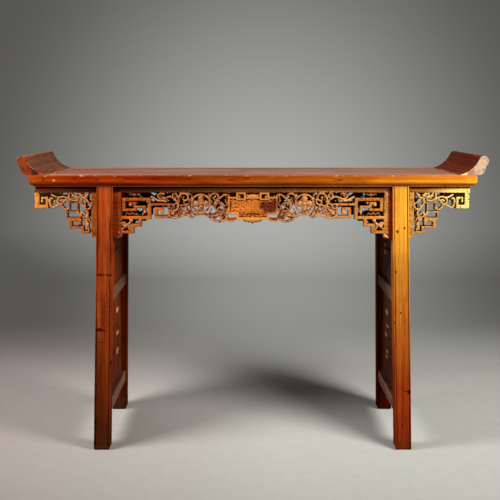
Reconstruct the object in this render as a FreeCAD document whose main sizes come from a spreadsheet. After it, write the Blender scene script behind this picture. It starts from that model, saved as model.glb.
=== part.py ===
import FreeCAD, Part
import math
import os
import Sketcher
from FreeCAD import Vector

os.makedirs("parts", exist_ok=True)
doc = FreeCAD.newDocument("scribes_table")

# Driving dimensions, in millimetres and degrees
driving = {
    "top_length": 1400,
    "top_depth": 388,
    "top_height": 878,
    "frame_thickness": 36,
    "frame_rail_width": 62,
    "edge_band": 23,
    "edge_cove": 9,
    "fit_gap": 0.2,
    "panel_thickness": 16,
    "panel_tongue": 8,
    "panel_tongue_thickness": 6,
    "corner_tenon_width": 26,
    "corner_tenon_thickness": 8,
    "corner_tenon_inset": 12,
    "batten_width": 44,
    "batten_height": 18,
    "batten_flare": 5,
    "batten_rise": 4,
    "batten_spacing": 420,
    "batten_tenon_length": 14,
    "batten_tenon_thickness": 10,
    "flange_height": 60,
    "flange_reach": 36,
    "flange_seat": 52,
    "flange_toe": 1.5,
    "flange_head_radius": 15.5,
    "flange_waist_reach": 25.7,
    "flange_waist_height": 18.4,
    "flange_base_reach": 4,
    "flange_inner_sag": 10,
    "flange_neck_sag": 1.6,
    "flange_belly_sag": 5.5,
    "flange_end_inset": 4,
    "flange_tenon_length": 60,
    "flange_tenon_thickness": 12,
    "flange_tenon_depth": 14,
    "flange_tenon_spacing": 110,
    "leg_width": 50,
    "leg_depth": 44,
    "leg_end_inset": 211,
    "leg_front_inset": 12,
    "leg_splay_long": 1.2,
    "leg_splay_deep": 1.75,
    "leg_bead_width": 3.5,
    "leg_bead_relief": 1.2,
    "leg_tenon_width": 30,
    "leg_tenon_thickness": 6,
    "leg_tenon_height": 14,
    "side_top_rail_height": 30,
    "side_rail_height": 36,
    "side_rail_thickness": 44,
    "side_mid_rail_base": 466,
    "side_low_rail_base": 110,
    "side_tenon_length": 20,
    "side_tenon_thickness": 14,
    "side_tenon_shoulder": 6,
    "side_top_tenon_length": 7,
    "side_panel_thickness": 14,
    "side_panel_tongue": 5,
    "side_panel_motif": 48,
    "side_panel_slot": 13,
    "apron_setback": 10,
    "apron_thickness": 20,
    "apron_rail_height": 20,
    "apron_end_inset": 16,
    "apron_tongue_depth": 7,
    "apron_tongue_thickness": 8,
    "apron_tongue_width": 12,
    "slot_reach": 15,
    "stile_drop": 141,
    "bracket_stile_width": 22,
    "bracket_drop": 130,
    "fret_bar": 10.5,
    "fret_gap": 4,
    "fret_width": 90,
    "fret_top": 17,
    "fret_bottom": 84,
    "small_fret_bar": 9,
    "small_fret_width": 50,
    "small_fret_spacing": 9,
    "small_fret_top": 34,
    "small_fret_bottom": 82,
    "scroll_band": 6,
    "medallion_radius": 31,
    "medallion_band": 6.6,
    "petal_radius": 9.5,
    "cartouche_width": 157,
    "cartouche_foot_width": 99,
    "cartouche_top": 14,
    "cartouche_waist": 69.5,
    "cartouche_bottom": 85,
    "cartouche_border": 5.6,
    "cartouche_recess": 5,
    "hook_size": 30,
    "hook_offset": 37,
    "wing_stile_width": 15,
    "wing_end_stile": 16,
    "wing_end_drop": 52,
    "wing_bar": 11,
    "end_board_thickness": 12,
    "end_tongue_thickness": 5,
    "end_tongue_length": 8,
}
sizes = doc.addObject("Spreadsheet::Sheet", "Sizes")
for row, (name, value) in enumerate(driving.items(), start=1):
    sizes.set(f"A{row}", name)
    sizes.set(f"B{row}", str(value))
    sizes.setAlias(f"B{row}", name)

# The bead under the cove of the top's edge is a little flatter than half a round: radius over height
bead_share = 0.55
# A knuckle of a scrolling stem stands a little proud of the stem: radius over width
knuckle_share = 0.56

# Places worked out from the driving dimensions
placing = {
    "under_frame": "Sizes.top_height - Sizes.frame_thickness",
    "half_length": "Sizes.top_length / 2",
    "half_depth": "Sizes.top_depth / 2",
    "lean_x": "tan(Sizes.leg_splay_long * 1 deg)",
    "lean_y": "tan(Sizes.leg_splay_deep * 1 deg)",
    "leg_x": "half_length - Sizes.leg_end_inset - Sizes.leg_width / 2",
    "leg_y": "half_depth - Sizes.leg_front_inset - Sizes.leg_depth / 2",
    "leg_face_y": "leg_y - Sizes.leg_depth / 2",
    "apron_y": "half_depth - Sizes.leg_front_inset - Sizes.apron_setback",
    "apron_back_y": "apron_y - Sizes.apron_thickness",
    "apron_end": "half_length - Sizes.apron_end_inset",
    "rail_under": "under_frame - Sizes.apron_rail_height",
    "panel_half_x": "half_length - Sizes.frame_rail_width",
    "panel_half_y": "half_depth - Sizes.frame_rail_width",
    "groove_mid": "Sizes.panel_thickness / 2",
    "tenon_mid": "(Sizes.panel_thickness + Sizes.frame_thickness) / 2",
    "side_top_base": "under_frame - Sizes.side_top_rail_height",
    "mid_top": "Sizes.side_mid_rail_base + Sizes.side_rail_height",
    "low_top": "Sizes.side_low_rail_base + Sizes.side_rail_height",
}
places = doc.addObject("Spreadsheet::Sheet", "Places")
for row, (name, formula) in enumerate(placing.items(), start=1):
    places.set(f"A{row}", name)
    places.set(f"B{row}", "=" + formula)
    places.setAlias(f"B{row}", name)
doc.recompute()

nodes = {}


def size(name):
    return float(sizes.get(name))


def place(name):
    return float(places.get(name))


def sketch_on(body, name, plane):
    sketch = body.newObject("Sketcher::SketchObject", name)
    support = [feature for feature in body.Origin.OriginFeatures if feature.Role == plane][0]
    sketch.AttachmentSupport = [(support, "")]
    sketch.MapMode = "FlatFace"
    return sketch


def fix_corner(sketch, edge, end, across, up):
    point = sketch.getPoint(edge, end)
    for kind, start, formula in (("DistanceX", point.x, across), ("DistanceY", point.y, up)):
        number = sketch.addConstraint(Sketcher.Constraint(kind, edge, end, start))
        sketch.setExpression(f"Constraints[{number}]", formula)


def polygon(sketch, corners):
    """A closed outline of straight lines whose corners are bound to formulas."""
    count = len(corners)
    first = sketch.GeometryCount
    turn = 2 * math.pi / count
    guess = [Vector(math.cos(turn * index), math.sin(turn * index), 0) * 100 for index in range(count)]
    for index in range(count):
        sketch.addGeometry(Part.LineSegment(guess[index], guess[(index + 1) % count]))
    for index in range(count):
        following = first + (index + 1) % count
        sketch.addConstraint(Sketcher.Constraint("Coincident", first + index, 2, following, 1))
    for index, (across, up) in enumerate(corners):
        fix_corner(sketch, first + index, 1, across, up)


def curved_outline(sketch, corners):
    """A closed outline whose edges may be arcs: (x, y, x formula, y formula, arc) for each corner.

    arc is None, or a point that the arc passes through and the formula of its radius.
    """
    count = len(corners)
    ends = []
    for index, (x, y, across, up, arc) in enumerate(corners):
        start = Vector(x, y, 0)
        finish = Vector(*corners[(index + 1) % count][:2], 0)
        if arc is None:
            sketch.addGeometry(Part.LineSegment(start, finish))
            ends.append((1, 2))
            continue
        sketch.addGeometry(Part.ArcOfCircle(start, Vector(*arc[0], 0), finish))
        first, last = (sketch.getPoint(index, end).distanceToPoint(start) for end in (1, 2))
        ends.append((1, 2) if first < last else (2, 1))
    for index in range(count):
        following = (index + 1) % count
        joint = Sketcher.Constraint("Coincident", index, ends[index][1], following, ends[following][0])
        sketch.addConstraint(joint)
    for index, (x, y, across, up, arc) in enumerate(corners):
        fix_corner(sketch, index, ends[index][0], across, up)
        if arc is not None:
            radius = sketch.Geometry[index].Radius
            number = sketch.addConstraint(Sketcher.Constraint("Radius", index, radius))
            sketch.setExpression(f"Constraints[{number}]", arc[1])


def pad(body, name, sketch, length, both_ways=False):
    feature = body.newObject("PartDesign::Pad", name)
    feature.Profile = sketch
    feature.setExpression("Length", length)
    feature.SideType = "Symmetric" if both_ways else "One side"
    return feature


def block(name, low, high):
    """A box between two corners given as formulas."""
    box = doc.addObject("Part::Box", name)
    for axis, extent, start, end in zip("xyz", ("Length", "Width", "Height"), low, high):
        box.setExpression(f"Placement.Base.{axis}", start)
        box.setExpression(extent, f"({end}) - ({start})")
    return box


def carve(node, base, cutters):
    """The finished sub-part: its blank with the mortises, slots and grooves cut out."""
    tool = cutters[0]
    if len(cutters) > 1:
        tool = doc.addObject("Part::MultiFuse", node + "_cuts")
        tool.Shapes = cutters
    cut = doc.addObject("Part::Cut", node + "_cut")
    cut.Base = base
    cut.Tool = tool
    nodes[node] = cut
    return cut


def signed(sign, formula):
    return f"{sign} * ({formula})"


def span(sign, near, far):
    """Two formulas in rising order for a stretch from near to far on one side of the middle."""
    return (near, far) if sign > 0 else (signed(-1, far), signed(-1, near))


def edge_corners(sign):
    """The moulded edge of the top frame: flat band, cove, bead, underside and panel groove."""
    band = size("edge_band")
    cove = size("edge_cove")
    deep = size("frame_thickness")
    wide = size("frame_rail_width")
    lip = deep - band - cove
    bead = bead_share * lip
    bulge = bead - math.sqrt(bead ** 2 - (lip / 2) ** 2)
    notch = wide - size("panel_tongue") - size("fit_gap")
    slack = size("panel_tongue_thickness") / 2 + size("fit_gap")
    groove_low = -place("groove_mid") - slack
    groove_high = -place("groove_mid") + slack
    slack_formula = "(Sizes.panel_tongue_thickness / 2 + Sizes.fit_gap)"
    low_formula = f"-Places.groove_mid - {slack_formula}"
    high_formula = f"-Places.groove_mid + {slack_formula}"
    wide_formula = "Sizes.frame_rail_width"
    notch_formula = "Sizes.frame_rail_width - Sizes.panel_tongue - Sizes.fit_gap"
    cove_end = "Sizes.edge_band + Sizes.edge_cove"
    diagonal = math.sqrt(0.5)
    cove_arc = ((cove * diagonal, -band - cove * (1 - diagonal)), "Sizes.edge_cove")
    bead_radius = f"{bead_share} * (Sizes.frame_thickness - ({cove_end}))"
    bead_arc = ((cove - bulge, -deep + lip / 2), bead_radius)
    path = [
        (0, 0, "0", "0", None),
        (0, -band, "0", "-Sizes.edge_band", cove_arc),
        (cove, -band - cove, "Sizes.edge_cove", f"-({cove_end})", bead_arc),
        (cove, -deep, "Sizes.edge_cove", "-Sizes.frame_thickness", None),
        (wide, -deep, wide_formula, "-Sizes.frame_thickness", None),
        (wide, groove_low, wide_formula, low_formula, None),
        (notch, groove_low, notch_formula, low_formula, None),
        (notch, groove_high, notch_formula, high_formula, None),
        (wide, groove_high, wide_formula, high_formula, None),
        (wide, 0, wide_formula, "0", None),
    ]
    flipped = []
    for x, y, across, up, arc in path:
        if arc is not None:
            arc = ((arc[0][0] * sign, arc[0][1]), arc[1])
        flipped.append((x * sign, y, signed(sign, across), up, arc))
    return flipped


def mitre_corners(sign, reach, slack):
    """The corner piece that a mitre takes off one end of a frame rail, past its ends by spare."""
    spare = "Sizes.frame_rail_width"
    return [
        (f"{sign} * ({reach} - {slack} + {spare})", f"-{spare}"),
        (f"{sign} * ({reach} + 2 * {spare})", f"-{spare}"),
        (f"{sign} * ({reach} + 2 * {spare})", f"2 * {spare}"),
        (f"{sign} * ({reach} - {slack} - 2 * {spare})", f"2 * {spare}"),
    ]


def long_rail(node, side):
    """A long rail of the top frame. side is -1 at the front and 1 at the back."""
    body = doc.addObject("PartDesign::Body", node + "_blank")
    body.setExpression("Placement.Base.y", signed(side, "Places.half_depth"))
    body.setExpression("Placement.Base.z", "Sizes.top_height")
    profile = sketch_on(body, node + "_profile", "YZ_Plane")
    curved_outline(profile, edge_corners(-side))
    pad(body, node + "_length", profile, "Sizes.top_length", both_ways=True)
    mitre = sketch_on(body, node + "_mitre", "XY_Plane")
    for end in (-1, 1):
        corners = mitre_corners(end, "Places.half_length", "Sizes.fit_gap")
        polygon(mitre, [(across, signed(-side, inward)) for across, inward in corners])
    pocket = body.newObject("PartDesign::Pocket", node + "_mitres")
    pocket.Profile = mitre
    pocket.SideType = "Symmetric"
    pocket.setExpression("Length", "3 * Sizes.frame_thickness")
    mortises = []
    inner = "Places.panel_half_y - Sizes.fit_gap"
    for end in (-1, 1):
        mortises.append(corner_tenon(f"{node}_corner_{end + 1}", end, side, "Sizes.fit_gap", inner))
        mortises += leg_tenons(f"{node}_leg_{end + 1}", end, side, "Sizes.fit_gap")
    for number in (-1, 0, 1):
        mortises.append(batten_tenon(f"{node}_batten_{number + 1}", number, side, "Sizes.fit_gap", inner))
    carve(node, body, mortises)


def corner_tenon(name, end, side, slack, inner):
    """The tongue of an end rail inside the long rail, or its mortise when slack is the fit gap."""
    half_width = f"Sizes.corner_tenon_width / 2 + {slack}"
    middle = "Places.half_length - Sizes.frame_rail_width / 2"
    half_high = f"Sizes.corner_tenon_thickness / 2 + {slack}"
    xs = span(end, f"{middle} - ({half_width})", f"{middle} + {half_width}")
    ys = span(side, inner, f"Places.half_depth - Sizes.corner_tenon_inset + {slack}")
    centre = "Sizes.top_height - Places.tenon_mid"
    return block(name, (xs[0], ys[0], f"{centre} - ({half_high})"), (xs[1], ys[1], f"{centre} + {half_high}"))


def batten_tenon(name, number, side, slack, inner):
    """The stub tenon of a cross batten inside the long rail, or its mortise."""
    half_width = f"Sizes.batten_width / 4 + {slack}"
    half_high = f"Sizes.batten_tenon_thickness / 2 + {slack}"
    middle = f"{number} * Sizes.batten_spacing"
    ys = span(side, inner, f"Places.panel_half_y + Sizes.batten_tenon_length + {slack}")
    centre = "Sizes.top_height - Sizes.panel_thickness - Sizes.batten_height / 2"
    low = (f"{middle} - ({half_width})", ys[0], f"{centre} - ({half_high})")
    high = (f"{middle} + {half_width}", ys[1], f"{centre} + {half_high}")
    return block(name, low, high)


def leg_tenons(name, end, side, slack):
    """The two tenons on the forked top of a leg, or their mortises in the long rail."""
    front = "(Places.leg_y + Sizes.leg_depth / 2 + Places.apron_y) / 2"
    rear = "(Places.leg_face_y + Places.apron_back_y) / 2"
    half_wide = f"Sizes.leg_tenon_width / 2 + {slack}"
    half_thick = f"Sizes.leg_tenon_thickness / 2 + {slack}"
    xs = span(end, f"Places.leg_x - ({half_wide})", f"Places.leg_x + {half_wide}")
    tenons = []
    for cheek, centre in (("front", front), ("rear", rear)):
        ys = span(side, f"{centre} - ({half_thick})", f"{centre} + {half_thick}")
        top = f"Places.under_frame + Sizes.leg_tenon_height + {slack}"
        tenons.append(block(f"{name}_{cheek}", (xs[0], ys[0], "Places.under_frame - 1"), (xs[1], ys[1], top)))
    return tenons


def end_rail(node, end):
    """An end rail of the top frame with a tenon at each end. end is -1 on the left and 1 on the right."""
    body = doc.addObject("PartDesign::Body", node + "_blank")
    body.setExpression("Placement.Base.x", signed(end, "Places.half_length"))
    body.setExpression("Placement.Base.z", "Sizes.top_height")
    profile = sketch_on(body, node + "_profile", "XZ_Plane")
    curved_outline(profile, edge_corners(-end))
    pad(body, node + "_length", profile, "Sizes.top_depth", both_ways=True)
    mitre = sketch_on(body, node + "_mitre", "XY_Plane")
    for side in (-1, 1):
        corners = mitre_corners(side, "Places.half_depth", "0")
        polygon(mitre, [(signed(-end, inward), across) for across, inward in corners])
    pocket = body.newObject("PartDesign::Pocket", node + "_mitres")
    pocket.Profile = mitre
    pocket.SideType = "Symmetric"
    pocket.setExpression("Length", "3 * Sizes.frame_thickness")
    tongued = doc.addObject("Part::MultiFuse", node + "_tongued")
    inner = "Places.panel_half_y - Sizes.frame_rail_width / 4"
    tenons = [corner_tenon(f"{node}_tongue_{side + 1}", end, side, "0", inner) for side in (-1, 1)]
    tongued.Shapes = [body] + tenons
    carve(node, tongued, flange_tenons(node + "_mortise", end, "Sizes.fit_gap"))


def flange_tenons(name, end, slack):
    """The tenons that hold a flange down on its end rail, or their mortises."""
    middle = "Places.half_length - Sizes.flange_seat / 2"
    half_thick = f"Sizes.flange_tenon_thickness / 2 + {slack}"
    half_long = f"Sizes.flange_tenon_length / 2 + {slack}"
    xs = span(end, f"{middle} - ({half_thick})", f"{middle} + {half_thick}")
    low = f"Sizes.top_height - Sizes.flange_tenon_depth - {slack}"
    tenons = []
    for number in (-1, 1):
        centre = f"{number} * Sizes.flange_tenon_spacing / 2"
        start = (xs[0], f"{centre} - ({half_long})", low)
        finish = (xs[1], f"{centre} + {half_long}", "Sizes.top_height + 1")
        tenons.append(block(f"{name}_{number + 1}", start, finish))
    return tenons


def top_panel(node):
    """The floating panel, tongued all round, with three dovetail grooves for the battens."""
    body = doc.addObject("PartDesign::Body", node + "_blank")
    body.setExpression("Placement.Base.z", "Sizes.top_height - Sizes.panel_thickness")
    face = sketch_on(body, node + "_face", "XY_Plane")
    half_x = "(Places.panel_half_x - Sizes.fit_gap)"
    half_y = "(Places.panel_half_y - Sizes.fit_gap)"
    polygon(face, rectangle(half_x, half_y))
    pad(body, node + "_board", face, "Sizes.panel_thickness")
    tongue = "Sizes.panel_tongue"
    half_high = "Sizes.panel_tongue_thickness / 2"
    middle = "Sizes.top_height - Places.groove_mid"
    low = (f"-({half_x} + {tongue})", f"-({half_y} + {tongue})", f"{middle} - {half_high}")
    high = (f"{half_x} + {tongue}", f"{half_y} + {tongue}", f"{middle} + {half_high}")
    fused = doc.addObject("Part::MultiFuse", node + "_tongued")
    fused.Shapes = [body, block(node + "_tongue", low, high)]
    grooves = [batten_blank(f"{node}_groove_{number + 1}", number, "Sizes.fit_gap", "2 * Places.half_depth")
               for number in (-1, 0, 1)]
    carve(node, fused, grooves)


def rectangle(half_across, half_up):
    return [
        (f"-({half_across})", f"-({half_up})"),
        (half_across, f"-({half_up})"),
        (half_across, half_up),
        (f"-({half_across})", half_up),
    ]


def batten_blank(name, number, slack, length):
    """A cross batten with its dovetailed top, or the groove that it slides in."""
    body = doc.addObject("PartDesign::Body", name)
    body.setExpression("Placement.Base.x", f"{number} * Sizes.batten_spacing")
    body.setExpression("Placement.Base.z", "Sizes.top_height - Sizes.panel_thickness")
    profile = sketch_on(body, name + "_profile", "XZ_Plane")
    foot = f"Sizes.batten_width / 2 - Sizes.batten_flare + {slack}"
    head = f"Sizes.batten_width / 2 + {slack}"
    base = "-Sizes.batten_height"
    crown = f"Sizes.batten_rise + {slack}"
    outline = [
        (f"-({foot})", base), (foot, base), (foot, "0"),
        (head, crown), (f"-({head})", crown), (f"-({foot})", "0"),
    ]
    polygon(profile, outline)
    pad(body, name + "_length", profile, length, both_ways=True)
    return body


def batten(node, number):
    inner = "Places.panel_half_y - 2 * Sizes.batten_tenon_length"
    pieces = [batten_blank(node + "_blank", number, "0", "2 * (Places.panel_half_y - Sizes.fit_gap)")]
    pieces += [batten_tenon(f"{node}_tenon_{side + 1}", number, side, "0", inner) for side in (-1, 1)]
    joined = doc.addObject("Part::MultiFuse", node + "_joined")
    joined.Shapes = pieces
    nodes[node] = joined


def arc_through(start, finish, sag):
    """A point on the arc from start to finish that bows to the right of the way by sag, and its radius."""
    along = Vector(finish[0] - start[0], finish[1] - start[1], 0)
    middle = Vector(start[0] + finish[0], start[1] + finish[1], 0) / 2
    across = Vector(along.y, -along.x, 0).normalize()
    point = middle + across * sag
    return point.x, point.y


def flange(node, end):
    """An everted end flange: its curled profile runs the depth of the top and is tenoned to the end rail."""
    head = size("flange_head_radius")
    centre = (size("flange_reach") - head, size("flange_height") - head)
    inner_turn = math.radians(140)
    outer_turn = math.radians(-25)
    points = {
        "toe": (-size("flange_seat"), 0),
        "lip": (-size("flange_seat"), size("flange_toe")),
        "brow": (centre[0] + head * math.cos(inner_turn), centre[1] + head * math.sin(inner_turn)),
        "cheek": (centre[0] + head * math.cos(outer_turn), centre[1] + head * math.sin(outer_turn)),
        "waist": (size("flange_waist_reach"), size("flange_waist_height")),
        "base": (size("flange_base_reach"), 0),
    }
    centre_x = "(Sizes.flange_reach - Sizes.flange_head_radius)"
    centre_z = "(Sizes.flange_height - Sizes.flange_head_radius)"
    radius = "Sizes.flange_head_radius"
    formulas = {
        "toe": ("-Sizes.flange_seat", "0"),
        "lip": ("-Sizes.flange_seat", "Sizes.flange_toe"),
        "brow": (f"{centre_x} + {radius} * cos(140 deg)", f"{centre_z} + {radius} * sin(140 deg)"),
        "cheek": (f"{centre_x} + {radius} * cos(25 deg)", f"{centre_z} - {radius} * sin(25 deg)"),
        "waist": ("Sizes.flange_waist_reach", "Sizes.flange_waist_height"),
        "base": ("Sizes.flange_base_reach", "0"),
    }

    def bowed(first, second, sag_name, turn):
        (ax, ay), (bx, by) = formulas[first], formulas[second]
        chord = f"(({ax}) - ({bx})) ^ 2 + (({ay}) - ({by})) ^ 2"
        sag = f"Sizes.{sag_name}"
        through = arc_through(points[first], points[second], turn * size(sag_name))
        return through, f"(({chord}) / 4 + {sag} ^ 2) / (2 * {sag})"

    crown = (centre[0] + head * math.cos(math.radians(60)), centre[1] + head * math.sin(math.radians(60)))
    arcs = {
        "toe": None,
        "lip": bowed("lip", "brow", "flange_inner_sag", 1),
        "brow": (crown, radius),
        "cheek": bowed("cheek", "waist", "flange_neck_sag", 1),
        "waist": bowed("waist", "base", "flange_belly_sag", -1),
        "base": None,
    }
    corners = []
    for key, (x, z) in points.items():
        arc = arcs[key]
        if arc is not None:
            arc = ((end * arc[0][0], arc[0][1]), arc[1])
        corners.append((end * x, z, signed(end, formulas[key][0]), formulas[key][1], arc))
    body = doc.addObject("PartDesign::Body", node + "_blank")
    body.setExpression("Placement.Base.x", signed(end, "Places.half_length"))
    body.setExpression("Placement.Base.z", "Sizes.top_height")
    profile = sketch_on(body, node + "_profile", "XZ_Plane")
    curved_outline(profile, corners)
    pad(body, node + "_length", profile, "Sizes.top_depth - 2 * Sizes.flange_end_inset", both_ways=True)
    joined = doc.addObject("Part::MultiFuse", node + "_tenoned")
    joined.Shapes = [body] + flange_tenons(node + "_tenon", end, "0")
    nodes[node] = joined


def leg(node, end, side):
    """A splayed leg: beaded face, forked top with two tenons, mortises and grooves for its side frame."""
    body = doc.addObject("PartDesign::Body", node + "_post")
    body.setExpression("Placement.Base.x", signed(end, "Places.leg_x"))
    body.setExpression("Placement.Base.y", signed(side, "Places.leg_y"))
    body.setExpression("Placement.Base.z", "Places.under_frame")
    section = sketch_on(body, node + "_section", "XY_Plane")
    half_x = "Sizes.leg_width / 2"
    half_y = "Sizes.leg_depth / 2"
    field_x = f"({half_x} - Sizes.leg_bead_width)"
    field_y = f"({half_y} - Sizes.leg_bead_relief)"
    outline = [
        (f"-{half_x}", f"-{half_y}"), (half_x, f"-{half_y}"), (half_x, half_y), (field_x, half_y),
        (field_x, field_y), (f"-{field_x}", field_y), (f"-{field_x}", half_y), (f"-{half_x}", half_y),
    ]
    polygon(section, [(across, signed(side, up)) for across, up in outline])
    post = pad(body, node + "_length", section, "Places.under_frame")
    post.UseCustomVector = True
    post.setExpression("Direction.x", signed(end, "Places.lean_x"))
    post.setExpression("Direction.y", signed(side, "Places.lean_y"))
    post.setExpression("Direction.z", "-1")
    post.AlongSketchNormal = True
    tenoned = doc.addObject("Part::MultiFuse", node + "_tenoned")
    tenoned.Shapes = [body] + leg_tenons(node + "_tenon", end, side, "0")
    gap = "Sizes.fit_gap"
    ys = span(side, f"Places.apron_back_y - {gap}", f"Places.apron_y + {gap}")
    xs = span(end, "Places.leg_x - Sizes.leg_width", "Places.leg_x + Sizes.leg_width")
    floor = f"Places.rail_under - Sizes.stile_drop - {gap}"
    cuts = [block(node + "_slot", (xs[0], ys[0], floor), (xs[1], ys[1], "Sizes.top_height"))]
    for level in rail_levels:
        cuts.append(side_tenon(f"{node}_{level}_mortise", end, level, gap))
    for level in panel_levels:
        cuts.append(side_panel_blank(f"{node}_{level}_groove", end, level, gap))
    carve(node, tenoned, cuts)


# Levels of the side rails: base, height, tenon length
rail_levels = {
    "top": ("Places.side_top_base", "Sizes.side_top_rail_height", "Sizes.side_top_tenon_length"),
    "mid": ("Sizes.side_mid_rail_base", "Sizes.side_rail_height", "Sizes.side_tenon_length"),
    "low": ("Sizes.side_low_rail_base", "Sizes.side_rail_height", "Sizes.side_tenon_length"),
}
# Levels of the side panels: lower and upper edge of the opening between two rails
panel_levels = {
    "upper": ("Places.mid_top", "Places.side_top_base"),
    "lower": ("Places.low_top", "Sizes.side_mid_rail_base"),
}


def leg_shift(height, lean):
    """How far a leaning leg has moved outwards at a height above the floor."""
    return f"Places.{lean} * (Places.under_frame - ({height}))"


def inner_face(height):
    """Distance from the middle to the inner face of a leg, along the depth, at a height."""
    return f"(Places.leg_face_y + {leg_shift(height, 'lean_y')})"


def side_tenon(name, end, level, slack):
    """The tenons of a side rail, from end to end, or their mortises in the legs."""
    base, high, reach = rail_levels[level]
    middle = f"({base} + ({high}) / 2)"
    centre = f"Places.leg_x + {leg_shift(middle, 'lean_x')}"
    half_thick = f"Sizes.side_tenon_thickness / 2 + {slack}"
    xs = span(end, f"{centre} - ({half_thick})", f"{centre} + {half_thick}")
    half_long = f"({inner_face(middle)} + {reach} + {slack})"
    low = (xs[0], f"-{half_long}", f"{base} + Sizes.side_tenon_shoulder - {slack}")
    top = (xs[1], half_long, f"{base} + {high} - Sizes.side_tenon_shoulder + {slack}")
    return block(name, low, top)


def side_rail(node, end, level):
    """A rail between the front and the back leg, with slanted shoulders and a tenon at each end."""
    base, high, reach = rail_levels[level]
    middle = f"({base} + ({high}) / 2)"
    body = doc.addObject("PartDesign::Body", node + "_blank")
    body.setExpression("Placement.Base.x", signed(end, f"Places.leg_x + {leg_shift(middle, 'lean_x')}"))
    outline = sketch_on(body, node + "_outline", "YZ_Plane")
    polygon(outline, slanted(base, f"{base} + {high}", "-Sizes.fit_gap"))
    pad(body, node + "_thickness", outline, "Sizes.side_rail_thickness", both_ways=True)
    joined = doc.addObject("Part::MultiFuse", node + "_tenoned")
    joined.Shapes = [body, side_tenon(node + "_tenon", end, level, "0")]
    touching = [key for key, edges in panel_levels.items() if base in edges or f"Places.{level}_top" in edges]
    grooves = [side_panel_blank(f"{node}_{key}_groove", end, key, "Sizes.fit_gap") for key in touching]
    carve(node, joined, grooves)


def slanted(low, high, reach):
    """A trapezium between the leaning legs, reaching past their inner faces."""
    low_half = f"({inner_face(low)} + {reach})"
    high_half = f"({inner_face(high)} + {reach})"
    return [(f"-{low_half}", low), (low_half, low), (high_half, high), (f"-{high_half}", high)]


def side_panel_blank(name, end, level, slack):
    """A plain side panel with its tongue on all four edges, or the groove that holds it."""
    low, high = panel_levels[level]
    middle = f"(({low}) + ({high})) / 2"
    tongue = f"Sizes.side_panel_tongue + {slack}"
    body = doc.addObject("PartDesign::Body", name)
    body.setExpression("Placement.Base.x", signed(end, f"Places.leg_x + {leg_shift(middle, 'lean_x')}"))
    outline = sketch_on(body, name + "_outline", "YZ_Plane")
    polygon(outline, slanted(f"{low} - ({tongue})", f"{high} + {tongue}", tongue))
    pad(body, name + "_thickness", outline, f"Sizes.side_panel_thickness + 2 * {slack}", both_ways=True)
    return body


def at(across, depth):
    """A point of the openwork: distance from the middle of the table and depth below the apron rail."""
    return Vector(across, 0, -depth)


def plate(corners):
    points = [at(*corner) for corner in corners]
    return Part.Face(Part.makePolygon(points + points[:1]))


def bar(near, high, far, low):
    return plate([(near, high), (far, high), (far, low), (near, low)])


def frame(near, high, far, low, width):
    """A rectangular loop of bars, measured over its outside."""
    return bar(near, high, far, low).cut(bar(near + width, high + width, far - width, low - width))


def bars(path, width):
    """Straight bars along a square-cornered path, which is the middle line of the fret."""
    half = width / 2
    pieces = []
    for (x0, d0), (x1, d1) in zip(path, path[1:]):
        pieces.append(bar(min(x0, x1) - half, min(d0, d1) - half, max(x0, x1) + half, max(d0, d1) + half))
    return pieces


def disc(across, depth, radius, step):
    """A round plate with one chord for every step of its turn."""
    turns = [math.radians(step * number) for number in range(round(360 / step))]
    return plate([(across + radius * math.cos(turn), depth + radius * math.sin(turn)) for turn in turns])


def ring(across, depth, radius, width, step):
    """A round loop about its middle line."""
    return disc(across, depth, radius + width / 2, step).cut(disc(across, depth, radius - width / 2, step))


def bent_strip(start, through, finish, width, step):
    """A strip of even width along the arc through three points, with one chord for every step."""
    middle = Part.ArcOfCircle(at(*start), at(*through), at(*finish))
    chords = max(2, math.ceil(math.degrees(middle.LastParameter - middle.FirstParameter) / step))
    line = [point - middle.Center for point in middle.discretize(Number=chords + 1)]
    spread = width / 2 / middle.Radius
    boundary = [middle.Center + spoke * (1 + spread) for spoke in line]
    boundary += [middle.Center + spoke * (1 - spread) for spoke in reversed(line)]
    return Part.Face(Part.makePolygon(boundary + boundary[:1]))


def tendril(path, width, step):
    """A scrolling stem: arcs through every third point of the path, with a knuckle where two arcs meet."""
    pieces = []
    for first in range(0, len(path) - 2, 2):
        pieces.append(bent_strip(*path[first:first + 3], width, step))
    for joint in path[2:-1:2]:
        pieces.append(disc(*joint, width * knuckle_share, step))
    return pieces


def flower(across, depth, radius, band, petal, step):
    """A round medallion: a ring round a four-petalled flower."""
    pieces = [ring(across, depth, radius - band / 2, band, step / 2), disc(across, depth, petal * 0.9, step)]
    reach = radius - band + 0.2 * band - petal
    for number in range(4):
        turn = number * math.pi / 2
        pieces.append(disc(across + reach * math.cos(turn), depth + reach * math.sin(turn), petal, step))
    return pieces


def forward(face):
    """The face turned so that its normal looks to the front."""
    return face.reversed() if face.normalAt(0, 0).y > 0 else face


def openwork(pieces, near, far, deep):
    """The pieces joined to one pierced board and trimmed level along the apron rail."""
    pieces = [forward(face) for piece in pieces for face in piece.Faces]
    joined = pieces[0].multiFuse(pieces[1:]).removeSplitter()
    trimmed = joined.common(bar(near, 0, far, deep))
    if len(trimmed.Faces) != 1:
        raise RuntimeError(f"openwork is in {len(trimmed.Faces)} pieces")
    return trimmed.Faces[0].extrude(Vector(0, size("apron_thickness"), 0))


def tongues(places_across):
    """Tongues on the upper edge of the openwork, which sit in the groove of the apron rail."""
    wide = size("apron_tongue_width")
    thick = size("apron_tongue_thickness")
    deep = size("apron_tongue_depth")
    root = size("scroll_band") / 2
    start = (size("apron_thickness") - thick) / 2
    corner = Vector(-wide / 2, start, -root)
    return [Part.makeBox(wide, thick, deep + root, corner + Vector(across, 0, 0)) for across in places_across]


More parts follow.
